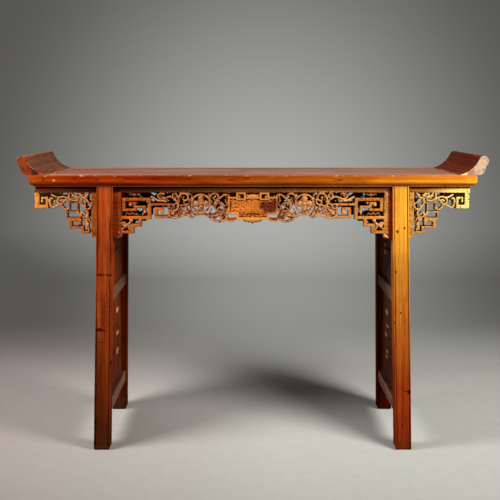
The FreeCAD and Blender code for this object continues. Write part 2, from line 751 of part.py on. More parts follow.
def hang(node, solid, side, mirrored):
    """Puts a piece of openwork under an apron rail, carved face outwards, on the right or the left."""
    if mirrored:
        solid = solid.mirror(Vector(0, 0, 0), Vector(1, 0, 0))
    if side > 0:
        solid = solid.mirror(Vector(0, 0, 0), Vector(0, 1, 0))
    feature = doc.addObject("Part::Feature", node)
    feature.Shape = solid
    corner = Vector(0, side * place("apron_y"), place("rail_under"))
    feature.Placement = FreeCAD.Placement(corner, FreeCAD.Rotation())
    nodes[node] = feature


def stile(near, far, leg_face):
    """The upright against a leg, with the slanted tail at its foot."""
    drop = size("bracket_drop")
    tail = size("stile_drop")
    return plate([(near, 0), (far, 0), (far, tail), (leg_face, tail), (near, drop)])


def bracket(step, leafy):
    """The key-fret bracket beside a leg: a large and a small square fret over a stepped foot."""
    thick = size("fret_bar")
    fine = size("small_fret_bar")
    leg_face = place("leg_x") - size("leg_width") / 2
    upright = leg_face - size("bracket_stile_width")
    outer = upright - size("fret_gap")
    wide = size("fret_width")
    inner = outer - wide
    top = size("fret_top")
    bottom = size("fret_bottom")
    high = bottom - top
    drop = size("bracket_drop")
    turn = outer - 0.42 * wide
    shelf = top + 0.57 * high
    curl = top + 0.24 * high
    pieces = [stile(upright, leg_face + size("slot_reach"), leg_face)]
    half = thick / 2
    coil = [
        (upright, bottom - half), (inner + half, bottom - half), (inner + half, top + half),
        (outer - half, top + half), (outer - half, shelf), (turn, shelf), (turn, curl),
    ]
    pieces += bars(coil, thick)
    tip = outer - 0.2 * wide
    pieces += bars([(turn, curl), (tip, curl), (tip, curl + half)], 0.6 * thick)
    ledge = top + 0.43 * high
    lip = inner + 0.2 * wide
    pieces += bars([(turn, ledge), (lip, ledge), (lip, top + 0.69 * high)], 0.75 * thick)
    near = inner - size("small_fret_spacing") - fine / 2
    far = near - size("small_fret_width") + fine
    small_top = size("small_fret_top") + fine / 2
    small_bottom = size("small_fret_bottom") - fine / 2
    small_high = small_bottom - small_top
    hook = small_top + 0.4 * small_high
    end = far + 0.4 * (near - far)
    pieces += bars([
        (inner + thick / 2, small_top), (far, small_top), (far, small_bottom), (near, small_bottom),
        (near, hook), (end, hook), (end, small_top + 0.7 * small_high),
    ], fine)
    foot = bottom + 0.42 * (drop - bottom)
    pieces += bars([
        (outer - 0.61 * wide, bottom - half), (outer - 0.61 * wide, foot), (outer - 0.36 * wide, foot),
        (outer - 0.36 * wide, drop - half), (upright, drop - half),
    ], thick)
    pieces.append(disc(turn, top / 2, top / 2 + 0.08 * thick, step))
    pieces.append(disc(upright + thick / 2, drop + 0.1 * thick, 0.55 * thick, step))
    stem = size("scroll_band")
    deep = drop - bottom
    if leafy:
        boss = (shelf + bottom - half) / 2
        pieces.append(disc(outer - 0.24 * wide, boss, 0.17 * high - 0.28 * thick, step))
        pieces += tendril([
            (upright + stem / 4, bottom + 0.2 * deep), (outer - 0.12 * wide, bottom + 0.42 * deep),
            (outer - 0.18 * wide, drop - thick + stem / 4),
        ], stem, step)
        pieces += tendril([
            (outer - 0.12 * wide, bottom - stem / 4), (outer - 0.15 * wide, bottom + 0.36 * deep),
            (outer - 0.36 * wide + thick / 4, drop - 1.7 * thick),
        ], stem, step)
    board = openwork(pieces, far - wide, leg_face + size("slot_reach"), size("stile_drop"))
    return board.multiFuse(tongues([upright + size("bracket_stile_width") / 2, turn])).removeSplitter()


def scroll_apron(step, leafy):
    """The middle of an apron: a cartouche between two fields of scrolls, each with a round medallion."""
    near = size("cartouche_width") / 2
    leg_face = place("leg_x") - size("leg_width") / 2
    fret = leg_face - size("bracket_stile_width") - size("fret_gap") - size("fret_width")
    far = fret - size("small_fret_spacing") - size("small_fret_width") - size("fit_gap")
    deep = size("small_fret_bottom")
    band = size("scroll_band")
    radius = size("medallion_radius")
    middle = near + 0.464 * (far - near)
    crown = 2 * radius + band / 2 - 0.2 * band

    def spot(across, down):
        return near + across * (far - near), down * deep

    def stem(*pairs, width=band):
        return tendril([spot(*pair) for pair in pairs], width, step)

    half = flower(middle, radius, radius, size("medallion_band"), size("petal_radius"), step)
    half += stem((0.98, 0.83), (0.955, 0.93), (0.915, 0.95), (0.81, 0.9), (0.707, 0.83),
                 (0.655, 0.84), (0.612, 0.93))
    arch = [spot(0.604, 0.93), spot(0.548, 0.835), (middle, crown), spot(0.386, 0.805), spot(0.321, 0.89)]
    arch += [spot(0.245, 1.02), spot(0.159, 1.09), spot(0.083, 1.085), spot(0.029, 1.0)]
    arch += [spot(0.003, 0.89), spot(0.005, 0.76)]
    half += tendril(arch, band, step)
    half += stem((0.993, 0.19), (0.84, 0.41), (0.969, 0.66), (0.986, 0.73), (0.98, 0.83))
    half += stem((0.835, 0.33), (0.772, 0.02), (0.664, 0.15), (0.672, 0.265), (0.721, 0.31))
    half += stem((0.83, 0.33), (0.785, 0.43), (0.738, 0.44))
    half += stem((0.31, 0.24), (0.224, 0.01), (0.153, 0.16), (0.18, 0.29), (0.229, 0.29))
    half += stem((0.294, 0.46), (0.202, 0.4), (0.132, 0.24), (0.078, 0.14), (-0.02, 0.16))
    half.append(ring(*spot(0.148, 0.56), 2.33 * band, band, step))
    half += stem((0.148, 0.755), (0.18, 0.9), (0.159, 1.08))
    if leafy:
        half += stem((0.993, 0.6), (0.93, 0.51), (0.967, 0.43))
        half.append(ring(*spot(0.896, 0.115), band, 0.8 * band, step))
        half.append(ring(*spot(0.705, 0.4), 1.33 * band, band, step))
        half += stem((0.796, 0.88), (0.815, 0.76), (0.83, 0.63), (0.764, 0.46), (0.699, 0.63),
                     (0.688, 0.73), (0.69, 0.82))
        half += stem((0.083, 0.5), (0.137, 0.49), (0.148, 0.58))
    foot = size("cartouche_foot_width") / 2
    low = size("cartouche_bottom")
    link = [spot(0.03, 1.07), ((near + foot) / 2, low + 0.8 * band), (foot - band, low - band)]
    half += tendril(link, 0.8 * band, step)
    both = half + [piece.mirror(Vector(0, 0, 0), Vector(1, 0, 0)) for piece in half]
    both += cartouche_faces(step)
    board = openwork(both, -far, far, 2 * deep)
    holds = [sign * place_across for sign in (-1, 1) for place_across in (middle, size("hook_offset"))]
    board = board.multiFuse(tongues(holds)).removeSplitter()
    return board.cut(cartouche_field())


def cartouche_outline(inset):
    """The stepped panel of the cartouche, drawn in by inset."""
    wide = size("cartouche_width") / 2 - inset
    foot = size("cartouche_foot_width") / 2 - inset
    top = size("cartouche_top") + inset
    waist = size("cartouche_waist") - inset
    bottom = size("cartouche_bottom") - inset
    return plate([
        (-wide, top), (wide, top), (wide, waist), (foot, waist),
        (foot, bottom), (-foot, bottom), (-foot, waist), (-wide, waist),
    ])


def cartouche_faces(step):
    """The panel of the cartouche with its two square hooks, the lotus between them and the pendant below."""
    border = size("cartouche_border")
    hook = size("hook_size") / 2
    drop = size("hook_size") - border
    panel = cartouche_outline(0)
    pieces = []
    for sign in (-1, 1):
        across = sign * size("hook_offset")
        panel = panel.cut(bar(across - hook, 0, across + hook, drop))
        pieces.append(frame(across - hook, 0, across + hook, drop, border))
        curl = across + sign * (hook - border)
        tip = curl - sign * border
        pieces += bars([(curl, drop / 2), (tip, drop / 2), (tip, drop * 0.62)], 0.7 * border)
    pieces.append(panel)
    lotus = size("hook_offset") - hook - border / 2
    top = size("cartouche_top")
    petals = [(-lotus, top - 1.1 * border), (0, top - 0.1 * border), (lotus, top - 1.1 * border)]
    pieces += tendril(petals, 0.8 * border, step)
    bottom = size("cartouche_bottom")
    for place_across, sink in ((-2, 0.0), (-1, 0.35), (0, 0.7), (1, 0.35), (2, 0.0)):
        pieces.append(disc(1.8 * place_across * border, bottom + sink * border, border, step))
    return pieces


def cartouche_field():
    """The sunk field of the cartouche, which leaves its border and the square hooks standing."""
    border = size("cartouche_border")
    hook = size("hook_size") / 2
    field = cartouche_outline(border)
    for sign in (-1, 1):
        across = sign * size("hook_offset")
        field = field.cut(bar(across - hook, 0, across + hook, size("hook_size") - border))
    return field.extrude(Vector(0, size("cartouche_recess"), 0))


def wing(step, leafy):
    """The outer spandrel: a square hook at the end, a wave, two loops and a stepped foot by the leg."""
    leg_face = place("leg_x") + size("leg_width") / 2
    near = leg_face + size("wing_stile_width")
    far = place("apron_end")
    wide = far - near
    drop = size("bracket_drop")
    band = size("scroll_band")
    thick = size("wing_bar")
    end_stile = size("wing_end_stile")
    end_drop = size("wing_end_drop")

    def spot(across, down):
        return near + across * wide, down * drop

    def stem(*pairs, width=band):
        return tendril([spot(*pair) for pair in pairs], width, step)

    pieces = [stile(near, leg_face - size("slot_reach"), leg_face), bar(far - end_stile, 0, far, end_drop)]
    catch, shelf = spot(0.775, 0.155)
    curl = far - 0.15 * wide
    low = end_drop - thick / 2
    pieces += bars([(far - thick, low), (catch, low), (catch, shelf)], thick)
    pieces += bars([(catch, shelf), (curl, shelf), (curl, shelf + thick)], 0.7 * thick)
    pieces += stem((0.735, 0.13), (0.7, 0.3), (0.644, 0.35), (0.594, 0.323), (0.544, 0.281),
                   (0.5, 0.285), (0.472, 0.338), (0.45, 0.4), (0.37, 0.44))
    pieces.append(frame(*spot(0.23, 0.231), *spot(0.378, 0.5), band))
    pieces.append(frame(*spot(0.194, 0.473), *spot(0.439, 0.636), band))
    block_face = bar(*spot(0.167, 0.61), *spot(0.422, 0.888))
    pieces.append(block_face.cut(bar(*spot(0.239, 0.718), *spot(0.344, 0.803))))
    foot_bar = size("fret_bar")
    pieces.append(bar(*spot(0.133, 0.84), *spot(0.194, 1.0)))
    pieces.append(bar(near - band, drop - foot_bar, *spot(0.194, 1.0)))
    pieces.append(disc(near - 0.4 * foot_bar, drop + 0.1 * foot_bar, 0.5 * foot_bar, step))
    pieces += stem((0.394, -0.01), (0.37, 0.14), (0.225, 0.22))
    pieces += stem((0.0, -0.01), (0.115, 0.11), (0.235, 0.235), width=0.85 * band)
    if leafy:
        pieces.append(ring(*spot(0.536, 0.205), 1.55 * band, band, step))
        pieces += stem((0.722, 0.06), (0.62, 0.088), (0.53, 0.115), width=0.85 * band)
        pieces += stem((0.205, -0.02), (0.12, 0.12), (0.0, 0.26), width=0.85 * band)
        pieces.append(ring(*spot(0.066, 0.325), 1.6 * band, 0.9 * band, step))
        pieces.append(ring(*spot(0.147, 0.546), 1.2 * band, 0.85 * band, step))
        pieces += stem((0.05, 0.4), (0.085, 0.55), (0.075, 0.94))
    board = openwork(pieces, leg_face - size("slot_reach"), far, size("stile_drop"))
    holds = [near - size("wing_stile_width") / 2, far - end_stile / 2]
    board = board.multiFuse(tongues(holds)).removeSplitter()
    return board.cut(end_groove())


def end_groove():
    """The stopped groove behind the end stile of a wing, which takes the tongue of the end board."""
    gap = size("fit_gap")
    wide = size("end_tongue_thickness") + 2 * gap
    reach = size("end_tongue_length") + gap
    high = size("wing_end_drop") - size("wing_bar") + gap
    start = place("apron_end") - size("end_board_thickness") / 2 - wide / 2
    return Part.makeBox(wide, 2 * reach, high, Vector(start, size("apron_thickness") - reach, -high))


def apron_rail(node, side):
    """The plain rail that runs through the forked legs and carries the openwork in a groove below."""
    ys = span(side, "Places.apron_back_y", "Places.apron_y")
    rail = block(node + "_blank", ("-Places.apron_end", ys[0], "Places.rail_under"),
                 ("Places.apron_end", ys[1], "Places.under_frame"))
    middle = signed(side, "Places.apron_y - Sizes.apron_thickness / 2")
    half = "(Sizes.apron_tongue_thickness / 2 + Sizes.fit_gap)"
    groove = block(node + "_groove", ("-Places.apron_end - 1", f"{middle} - {half}", "Places.rail_under - 1"),
                   ("Places.apron_end + 1", f"{middle} + {half}",
                    "Places.rail_under + Sizes.apron_tongue_depth + Sizes.fit_gap"))
    carve(node, rail, [groove])


def end_board(node, end):
    """The board that closes the end of the apron, tongued into the front and the back wing."""
    xs = span(end, "Places.apron_end - Sizes.end_board_thickness", "Places.apron_end")
    half = "(Places.apron_back_y - Sizes.fit_gap)"
    low = (xs[0], f"-{half}", "Places.rail_under - Sizes.wing_end_drop")
    board = block(node + "_board", low, (xs[1], half, "Places.under_frame"))
    middle = "Places.apron_end - Sizes.end_board_thickness / 2"
    slight = "Sizes.end_tongue_thickness / 2"
    xs = span(end, f"{middle} - {slight}", f"{middle} + {slight}")
    reach = "(Places.apron_back_y + Sizes.end_tongue_length)"
    low = (xs[0], f"-{reach}", "Places.rail_under - Sizes.wing_end_drop + Sizes.wing_bar")
    tongue = block(node + "_tongue", low, (xs[1], reach, "Places.rail_under - Sizes.fit_gap"))
    joined = doc.addObject("Part::MultiFuse", node + "_tongued")
    joined.Shapes = [board, tongue]
    nodes[node] = joined


def side_panel(node, end, level):
    """A side panel pierced by four angled slots round a lozenge, with an upright slot above and below."""
    blank = side_panel_blank(node + "_blank", end, level, "0")
    low, high = panel_levels[level]
    middle = f"((({low}) + ({high})) / 2)"
    piercing = doc.addObject("PartDesign::Body", node + "_piercing")
    piercing.AllowCompound = True
    piercing.setExpression("Placement.Base.x", signed(end, f"Places.leg_x + {leg_shift(middle, 'lean_x')}"))
    face = sketch_on(piercing, node + "_slots", "YZ_Plane")
    wide = "Sizes.side_panel_slot"
    half = "Sizes.side_panel_motif"
    near = f"({wide} / 2)"
    inner = f"({half} - {wide})"
    angle = [(near, half), (half, half), (half, near), (inner, near), (inner, inner), (near, inner)]
    start = f"{half} + {wide}"
    finish = f"2 * {half}"
    upright = [(f"-{near}", start), (near, start), (near, finish), (f"-{near}", finish)]
    lozenge = [("0", f"-{wide}"), (wide, "0"), ("0", wide), (f"-{wide}", "0")]
    slots = [(lozenge, 1, 1), (upright, 1, 1), (upright, 1, -1)]
    slots += [(angle, across, up) for across in (-1, 1) for up in (-1, 1)]
    for outline, across, up in slots:
        polygon(face, [(signed(across, y), f"{middle} + {signed(up, z)}") for y, z in outline])
    pad(piercing, node + "_depth", face, "2 * Sizes.side_panel_thickness", both_ways=True)
    carve(node, blank, [piercing])


ends = {"left": -1, "right": 1}
sides = {"front": -1, "back": 1}
for side_name, side in sides.items():
    long_rail(f"top_{side_name}_rail", side)
    apron_rail(f"{side_name}_apron_rail", side)
for end_name, end in ends.items():
    end_rail(f"top_{end_name}_end_rail", end)
    flange(f"{end_name}_flange", end)
    end_board(f"{end_name}_end_board", end)
    for level in rail_levels:
        side_rail(f"{end_name}_side_{level}_rail", end, level)
    for level in panel_levels:
        side_panel(f"{end_name}_side_{level}_panel", end, level)
    for side_name, side in sides.items():
        leg(f"{side_name}_{end_name}_leg", end, side)
top_panel("top_panel")
for number, name in enumerate(("left_batten", "middle_batten", "right_batten"), start=-1):
    batten(name, number)

# The openwork: degrees of a curve for each chord, and whether the leafwork stands between the main scrolls
carving = {"front": (24, True), "back": (45, False)}
for side_name, (step, leafy) in carving.items():
    side = sides[side_name]
    hang(f"{side_name}_scroll_apron", scroll_apron(step, leafy), side, False)
    bracket_solid = bracket(step, leafy)
    wing_solid = wing(step, leafy)
    for end_name, end in ends.items():
        hang(f"{side_name}_{end_name}_bracket", bracket_solid, side, end < 0)
        hang(f"{side_name}_{end_name}_wing", wing_solid, side, end < 0)

doc.recompute()
for item in doc.Objects:
    if "Invalid" in item.State or "Error" in item.State:
        raise RuntimeError(f"{item.Label} failed: {item.State}")
for node, item in nodes.items():
    item.Label = node
    shape = item.Shape
    if shape.isNull() or not shape.isValid() or len(shape.Solids) != 1:
        raise RuntimeError(f"{node} is not one sound solid: {len(shape.Solids)}")
for node, item in nodes.items():
    item.Shape.exportStep(f"parts/{node}.step")
print(f"{len(nodes)} sub-parts written")
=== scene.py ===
import math
import bpy
import bmesh
from mathutils import Matrix, Vector


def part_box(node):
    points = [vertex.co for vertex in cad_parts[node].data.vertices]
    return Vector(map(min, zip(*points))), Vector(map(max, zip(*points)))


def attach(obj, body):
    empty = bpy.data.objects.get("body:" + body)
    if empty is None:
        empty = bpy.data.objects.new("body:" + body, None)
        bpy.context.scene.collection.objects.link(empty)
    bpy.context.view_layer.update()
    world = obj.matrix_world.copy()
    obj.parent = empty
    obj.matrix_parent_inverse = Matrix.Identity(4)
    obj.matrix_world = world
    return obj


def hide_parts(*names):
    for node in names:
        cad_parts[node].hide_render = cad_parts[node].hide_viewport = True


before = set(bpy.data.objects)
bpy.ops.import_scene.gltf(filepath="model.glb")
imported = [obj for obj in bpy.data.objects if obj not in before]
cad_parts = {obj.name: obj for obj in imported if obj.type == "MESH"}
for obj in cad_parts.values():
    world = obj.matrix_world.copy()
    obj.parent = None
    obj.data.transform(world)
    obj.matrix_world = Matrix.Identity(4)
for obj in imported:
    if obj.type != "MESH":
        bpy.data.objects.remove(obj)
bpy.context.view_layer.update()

mm = 0.001
scene = bpy.context.scene
scene.view_settings.view_transform = "Standard"


# colours are written as 0-255 screen values
def tone(red, green, blue):
    def linear(value):
        part = value / 255
        return part / 12.92 if part <= 0.04045 else ((part + 0.055) / 1.055) ** 2.4
    return (linear(red), linear(green), linear(blue), 1.0)


def addObject(name, data):
    thing = bpy.data.objects.new(name, data)
    scene.collection.objects.link(thing)
    return thing


def meshPiece(name, bm):
    mesh = bpy.data.meshes.new(name)
    for face in bm.faces:
        face.smooth = True
    bm.to_mesh(mesh)
    bm.free()
    return addObject(name, mesh)


# small node helpers: a value is a socket to link or a number to set
def fill(tree, node, values):
    for name, value in values.items():
        if hasattr(value, "is_linked"):
            tree.links.new(value, node.inputs[name])
        else:
            node.inputs[name].default_value = value
    return node


def addNode(tree, kind, values):
    return fill(tree, tree.nodes.new("ShaderNode" + kind), values)


def addGroup(tree, group, values):
    node = tree.nodes.new("ShaderNodeGroup")
    node.node_tree = group
    return fill(tree, node, values)


# three numbers are a screen colour
def mixColours(tree, share, first, second, kind="MIX"):
    mix = tree.nodes.new("ShaderNodeMix")
    mix.data_type = "RGBA"
    mix.blend_type = kind
    first, second = (tone(*paint) if isinstance(paint, tuple) and len(paint) == 3 else paint
                     for paint in (first, second))
    return fill(tree, mix, {"Factor": share, "A": first, "B": second}).outputs["Result"]


def scaled(tree, value, low, high, start=0.0, end=1.0, smooth=False):
    step = addNode(tree, "MapRange", {"Value": value, "From Min": low, "From Max": high,
                                      "To Min": start, "To Max": end})
    if smooth:
        step.interpolation_type = "SMOOTHSTEP"
    return step.outputs["Result"]


def calc(tree, kind, *values):
    step = tree.nodes.new("ShaderNodeMath")
    step.operation = kind
    return fill(tree, step, dict(enumerate(values))).outputs[0]


def noise(tree, spot, scale, detail, **more):
    values = {"Vector": spot, "Scale": scale, "Detail": detail, **more}
    return addNode(tree, "TexNoise", values).outputs["Fac"]


def patchy(tree, spot, look):
    return scaled(tree, noise(tree, spot, *look["noise"]), *look["shows"])


def parted(tree, vector):
    return addNode(tree, "SeparateXYZ", {"Vector": vector}).outputs


def startMaterial(name):
    material = bpy.data.materials.new(name)
    material.use_nodes = True
    tree = material.node_tree
    return material, tree, tree.nodes["Principled BSDF"], tree.nodes.new("ShaderNodeTexCoord").outputs


# camera and studio
studio = {
    "cameraPlace": (-0.0204, -2.780, 1.0624),
    "cameraPitch": 5.0,             # degrees below level
    "lens": 59.93,
    "sensor": 36,
    "shift": (0.0076, -0.1225),
    "farthest": 50,
    "wallDistance": 2.3,
    "wallHeight": 3.2,
    "sweepRadius": 0.9,
    "sweepSteps": 24,
    "halfWidth": 5.0,
    "frontReach": 4.0,
    "rough": 0.9,
    "gloss": 0.1,
    # painted light on the floor: paler far off against the lamps' falloff, darker and pinker to the left
    "floorNear": (154, 155, 152),
    "floorFar": (228, 229, 225),
    "floorReach": (-0.6, 1.2),      # from near to far
    "floorLeft": (0.74, 0.63, 0.63, 1.0),
    "floorRight": (1.0, 1.0, 0.98, 1.0),
    "floorSides": (-0.9, 0.1),      # from left to right
    "wallMiddle": (175, 175, 172),
    "wallEdge": (88, 87, 85),
    "wallStart": (0.3, 1.9),        # the floor's colour turns into the wall's
    "wallCurve": 0.1,
    "pool": {"x": (0.10, 0.20), "wide": (1.93, 1.58), "z": 0.37, "high": 2.3, "bend": 1.81,
             "narrowFrom": 0.1, "lowest": -0.62},
    "mottle": {"noise": (26, 5), "shows": (0.35, 0.65, 0.955, 1.0)},
}


def buildCamera(plan):
    camera = addObject("photoCamera", bpy.data.cameras.new("photoCamera"))
    camera.location = plan["cameraPlace"]
    camera.rotation_euler = (math.radians(90 - plan["cameraPitch"]), 0, 0)
    camera.data.sensor_width = plan["sensor"]
    camera.data.lens = plan["lens"]
    camera.data.shift_x, camera.data.shift_y = plan["shift"]
    camera.data.clip_end = plan["farthest"]
    scene.camera = camera
    print("camera set")


def buildStudio(plan):
    bm = bmesh.new()
    foot = plan["wallDistance"] - plan["sweepRadius"]
    near = bm.verts.new((-plan["halfWidth"], -plan["frontReach"], 0))
    turn = bm.verts.new((-plan["halfWidth"], foot, 0))
    bm.edges.new((near, turn))
    bend = bmesh.ops.spin(bm, geom=[turn], cent=(0, foot, plan["sweepRadius"]), axis=(1, 0, 0),
                          dvec=(0, 0, 0), angle=math.pi / 2, steps=plan["sweepSteps"], use_duplicate=False)
    last = [part for part in bend["geom_last"] if isinstance(part, bmesh.types.BMVert)][0]
    rise = bmesh.ops.extrude_vert_indiv(bm, verts=[last])
    rise["verts"][0].co.z = plan["wallHeight"]
    wide = bmesh.ops.extrude_edge_only(bm, edges=bm.edges[:])
    moved = [part for part in wide["geom"] if isinstance(part, bmesh.types.BMVert)]
    bmesh.ops.translate(bm, verts=moved, vec=(2 * plan["halfWidth"], 0, 0))
    bmesh.ops.recalc_face_normals(bm, faces=bm.faces)
    sweep = meshPiece("studioSweep", bm)
    sweep.data.materials.append(studioPaper(plan))
    print("studio built")


def studioPaper(plan):
    paper, tree, shade, coords = startMaterial("studioPaper")
    x, y, z = parted(tree, coords["Object"])
    # painted pool of light behind the table, darker to the sides and the top
    pool = plan["pool"]
    bend = calc(tree, "MULTIPLY_ADD", y, pool["bend"], z)
    rise = calc(tree, "SUBTRACT", bend, pool["bend"] * plan["wallDistance"])
    rise = calc(tree, "MAXIMUM", rise, pool["lowest"])
    # near the floor the pool is narrower and further right
    low = scaled(tree, rise, pool["narrowFrom"], pool["lowest"])
    middle = scaled(tree, low, 0, 1, *pool["x"])
    narrow = scaled(tree, low, 0, 1, *(1 / wide for wide in pool["wide"]))
    offX = calc(tree, "MULTIPLY", calc(tree, "SUBTRACT", x, middle), narrow)
    offZ = calc(tree, "DIVIDE", calc(tree, "SUBTRACT", rise, pool["z"]), pool["high"])
    far = calc(tree, "SQRT", calc(tree, "MULTIPLY_ADD", offX, offX, calc(tree, "MULTIPLY", offZ, offZ)))
    wall = mixColours(tree, scaled(tree, far, 0, 1, smooth=True), plan["wallMiddle"], plan["wallEdge"])
    aside = calc(tree, "ABSOLUTE", calc(tree, "SUBTRACT", x, pool["x"][0]))
    back = calc(tree, "MULTIPLY_ADD", aside, -plan["wallCurve"], y)
    onWall = scaled(tree, back, *plan["wallStart"], smooth=True)
    tint = mixColours(tree, scaled(tree, x, *plan["floorSides"]), plan["floorLeft"], plan["floorRight"])
    floor = mixColours(tree, scaled(tree, y, *plan["floorReach"]), plan["floorNear"], plan["floorFar"])
    floor = mixColours(tree, 1.0, floor, tint, "MULTIPLY")
    floor = mixColours(tree, 1.0, floor, patchy(tree, coords["Object"], plan["mottle"]), "MULTIPLY")
    fill(tree, shade, {"Base Color": mixColours(tree, onWall, floor, wall), "Roughness": plan["rough"],
                       "Specular IOR Level": plan["gloss"]})
    # the wall glows with its painted pool of light for the eye and for reflections in the polish on the wood
    eye = tree.nodes.new("ShaderNodeLightPath").outputs
    seen = calc(tree, "MAXIMUM", eye["Is Camera Ray"], eye["Is Glossy Ray"])
    glow = addNode(tree, "Emission", {"Color": wall})
    mixed = addNode(tree, "MixShader", {"Fac": calc(tree, "MULTIPLY", seen, onWall),
                                        1: shade.outputs[0], 2: glow.outputs[0]})
    fill(tree, tree.nodes["Material Output"], {"Surface": mixed.outputs[0]})
    return paper


lamps = {
    "keyRight": {"place": (1.29, -1.08, 1.67), "size": 0.81, "power": 55, "tone": (1.0, 0.98, 0.93)},
    "fillLeft": {"place": (-1.35, -0.62, 1.66), "size": 0.74, "power": 42, "tone": (1.0, 0.98, 0.95)},
}
lampAim = Vector((0, 0, 0.6))
studioAir = {"Color": (0.55, 0.55, 0.54, 1), "Strength": 0.10}


def buildLamps(plan):
    for name, lamp in plan.items():
        data = bpy.data.lights.new(name, "AREA")
        data.shape = "DISK"
        data.size = lamp["size"]
        data.energy = lamp["power"]
        data.color = lamp["tone"]
        holder = addObject(name, data)
        holder.location = lamp["place"]
        holder.rotation_euler = (lampAim - Vector(lamp["place"])).to_track_quat("-Z", "Y").to_euler()
    world = bpy.data.worlds.new("studioAir")
    world.use_nodes = True
    fill(world.node_tree, world.node_tree.nodes["Background"], studioAir)
    scene.world = world
    print("lamps hung")


# shared wood effects
def newGroup(name, takes, gives):
    group = bpy.data.node_groups.new(name, "ShaderNodeTree")
    for way, sockets in (("INPUT", takes), ("OUTPUT", gives)):
        for label, kind in sockets.items():
            group.interface.new_socket(label, in_out=way, socket_type="NodeSocket" + kind)
    return group, group.nodes.new("NodeGroupInput").outputs, group.nodes.new("NodeGroupOutput")


# each pattern: noise scale and detail, then the part of the noise that shows and how strongly
grainLook = {
    "stretch": (1.0, 1.0, 0.045),
    "fibre": {"noise": (260, 5), "more": {"Roughness": 0.65}, "shows": (0.5, 0.72, 0.0, 0.7)},
    "band": {"noise": (34, 3), "more": {"Distortion": 0.6}, "shows": (0.36, 0.66)},
    "rings": {"wave": {"Scale": 22, "Distortion": 9, "Detail": 2, "Detail Scale": 0.7},
              "shows": (0.55, 1.0, 0.0, 0.5)},
}


# fibres run along Z of the incoming vector
def grainGroup(look):
    takes = {"Vector": "Vector", "Dark": "Color", "Middle": "Color", "Light": "Color", "Seed": "Float"}
    tree, given, out = newGroup("woodGrain", takes, {"Color": "Color", "Fibre": "Float"})
    shift = tree.nodes.new("ShaderNodeVectorMath")      # adds the seed
    fill(tree, shift, {0: given["Vector"], 1: given["Seed"]})
    long = addNode(tree, "Mapping", {"Vector": shift.outputs[0], "Scale": look["stretch"]}).outputs[0]
    fibre = noise(tree, long, *look["fibre"]["noise"], **look["fibre"]["more"])
    band = noise(tree, long, *look["band"]["noise"], **look["band"]["more"])
    rings = addNode(tree, "TexWave", {"Vector": long, **look["rings"]["wave"]}).outputs["Fac"]
    colour = mixColours(tree, scaled(tree, band, *look["band"]["shows"]), given["Middle"], given["Dark"])
    colour = mixColours(tree, scaled(tree, rings, *look["rings"]["shows"]), colour, given["Dark"])
    colour = mixColours(tree, scaled(tree, fibre, *look["fibre"]["shows"]), colour, given["Light"])
    fill(tree, out, {"Color": colour, "Fibre": fibre})
    return tree


ageLook = {
    "blotch": {"noise": (9, 6), "shows": (0.45, 0.75), "sheen": (0.3, 0.7, 0.28, 0.46), "tone": (48, 20, 8)},
    "specks": {"noise": (120, 3), "shows": (0.68, 0.76, 0.0, 0.55), "tone": (40, 18, 8)},
    "chips": {"noise": (55, 4), "shows": (0.5, 0.62), "tone": (226, 160, 92)},
}


def ageGroup(look):
    takes = {"Color": "Color", "Vector": "Vector",
             "Edge": "Float", "Grime": "Float", "Wear": "Float", "Rough": "Float"}
    tree, given, out = newGroup("woodAge", takes, {"Color": "Color", "Roughness": "Float"})
    blotch = noise(tree, given["Vector"], *look["blotch"]["noise"])
    dirt = calc(tree, "MULTIPLY", scaled(tree, blotch, *look["blotch"]["shows"]), given["Grime"])
    colour = mixColours(tree, dirt, given["Color"], look["blotch"]["tone"])
    colour = mixColours(tree, patchy(tree, given["Vector"], look["specks"]), colour, look["specks"]["tone"])
    worn = calc(tree, "MULTIPLY", patchy(tree, given["Vector"], look["chips"]), given["Edge"])
    colour = mixColours(tree, calc(tree, "MULTIPLY", worn, given["Wear"]), colour, look["chips"]["tone"])
    sheen = calc(tree, "ADD", scaled(tree, blotch, *look["blotch"]["sheen"]), given["Rough"])
    fill(tree, out, {"Color": colour, "Roughness": sheen})
    return tree


woodGrain = grainGroup(grainLook)
woodAge = ageGroup(ageLook)

# grain axis: turn that lays the fibres of the group's Z along the piece
grainTurn = {"x": (0, math.pi / 2, 0), "y": (math.pi / 2, 0, 0), "z": (0, 0, 0)}


# distance from the middle of an oval, 1 on its rim
def ovalReach(tree, spot, place, size):
    near = tree.nodes.new("ShaderNodeMapping")
    near.vector_type = "TEXTURE"
    fill(tree, near, {"Vector": spot, "Location": place, "Scale": size})
    far = tree.nodes.new("ShaderNodeVectorMath")
    far.operation = "LENGTH"
    return fill(tree, far, {0: near.outputs[0]}).outputs["Value"]


softRim = (1.0, 0.55)


def ovalMask(tree, spot, ovals, deepness):
    mask = None
    for across, deep, up, wide, high in ovals:
        reach = ovalReach(tree, spot, (across, deep, up), (wide, deepness, high))
        one = scaled(tree, reach, *softRim)
        mask = one if mask is None else calc(tree, "MAXIMUM", mask, one)
    return mask


def attributeOf(tree, name):
    node = tree.nodes.new("ShaderNodeAttribute")
    node.attribute_name = name
    return node.outputs["Fac"]


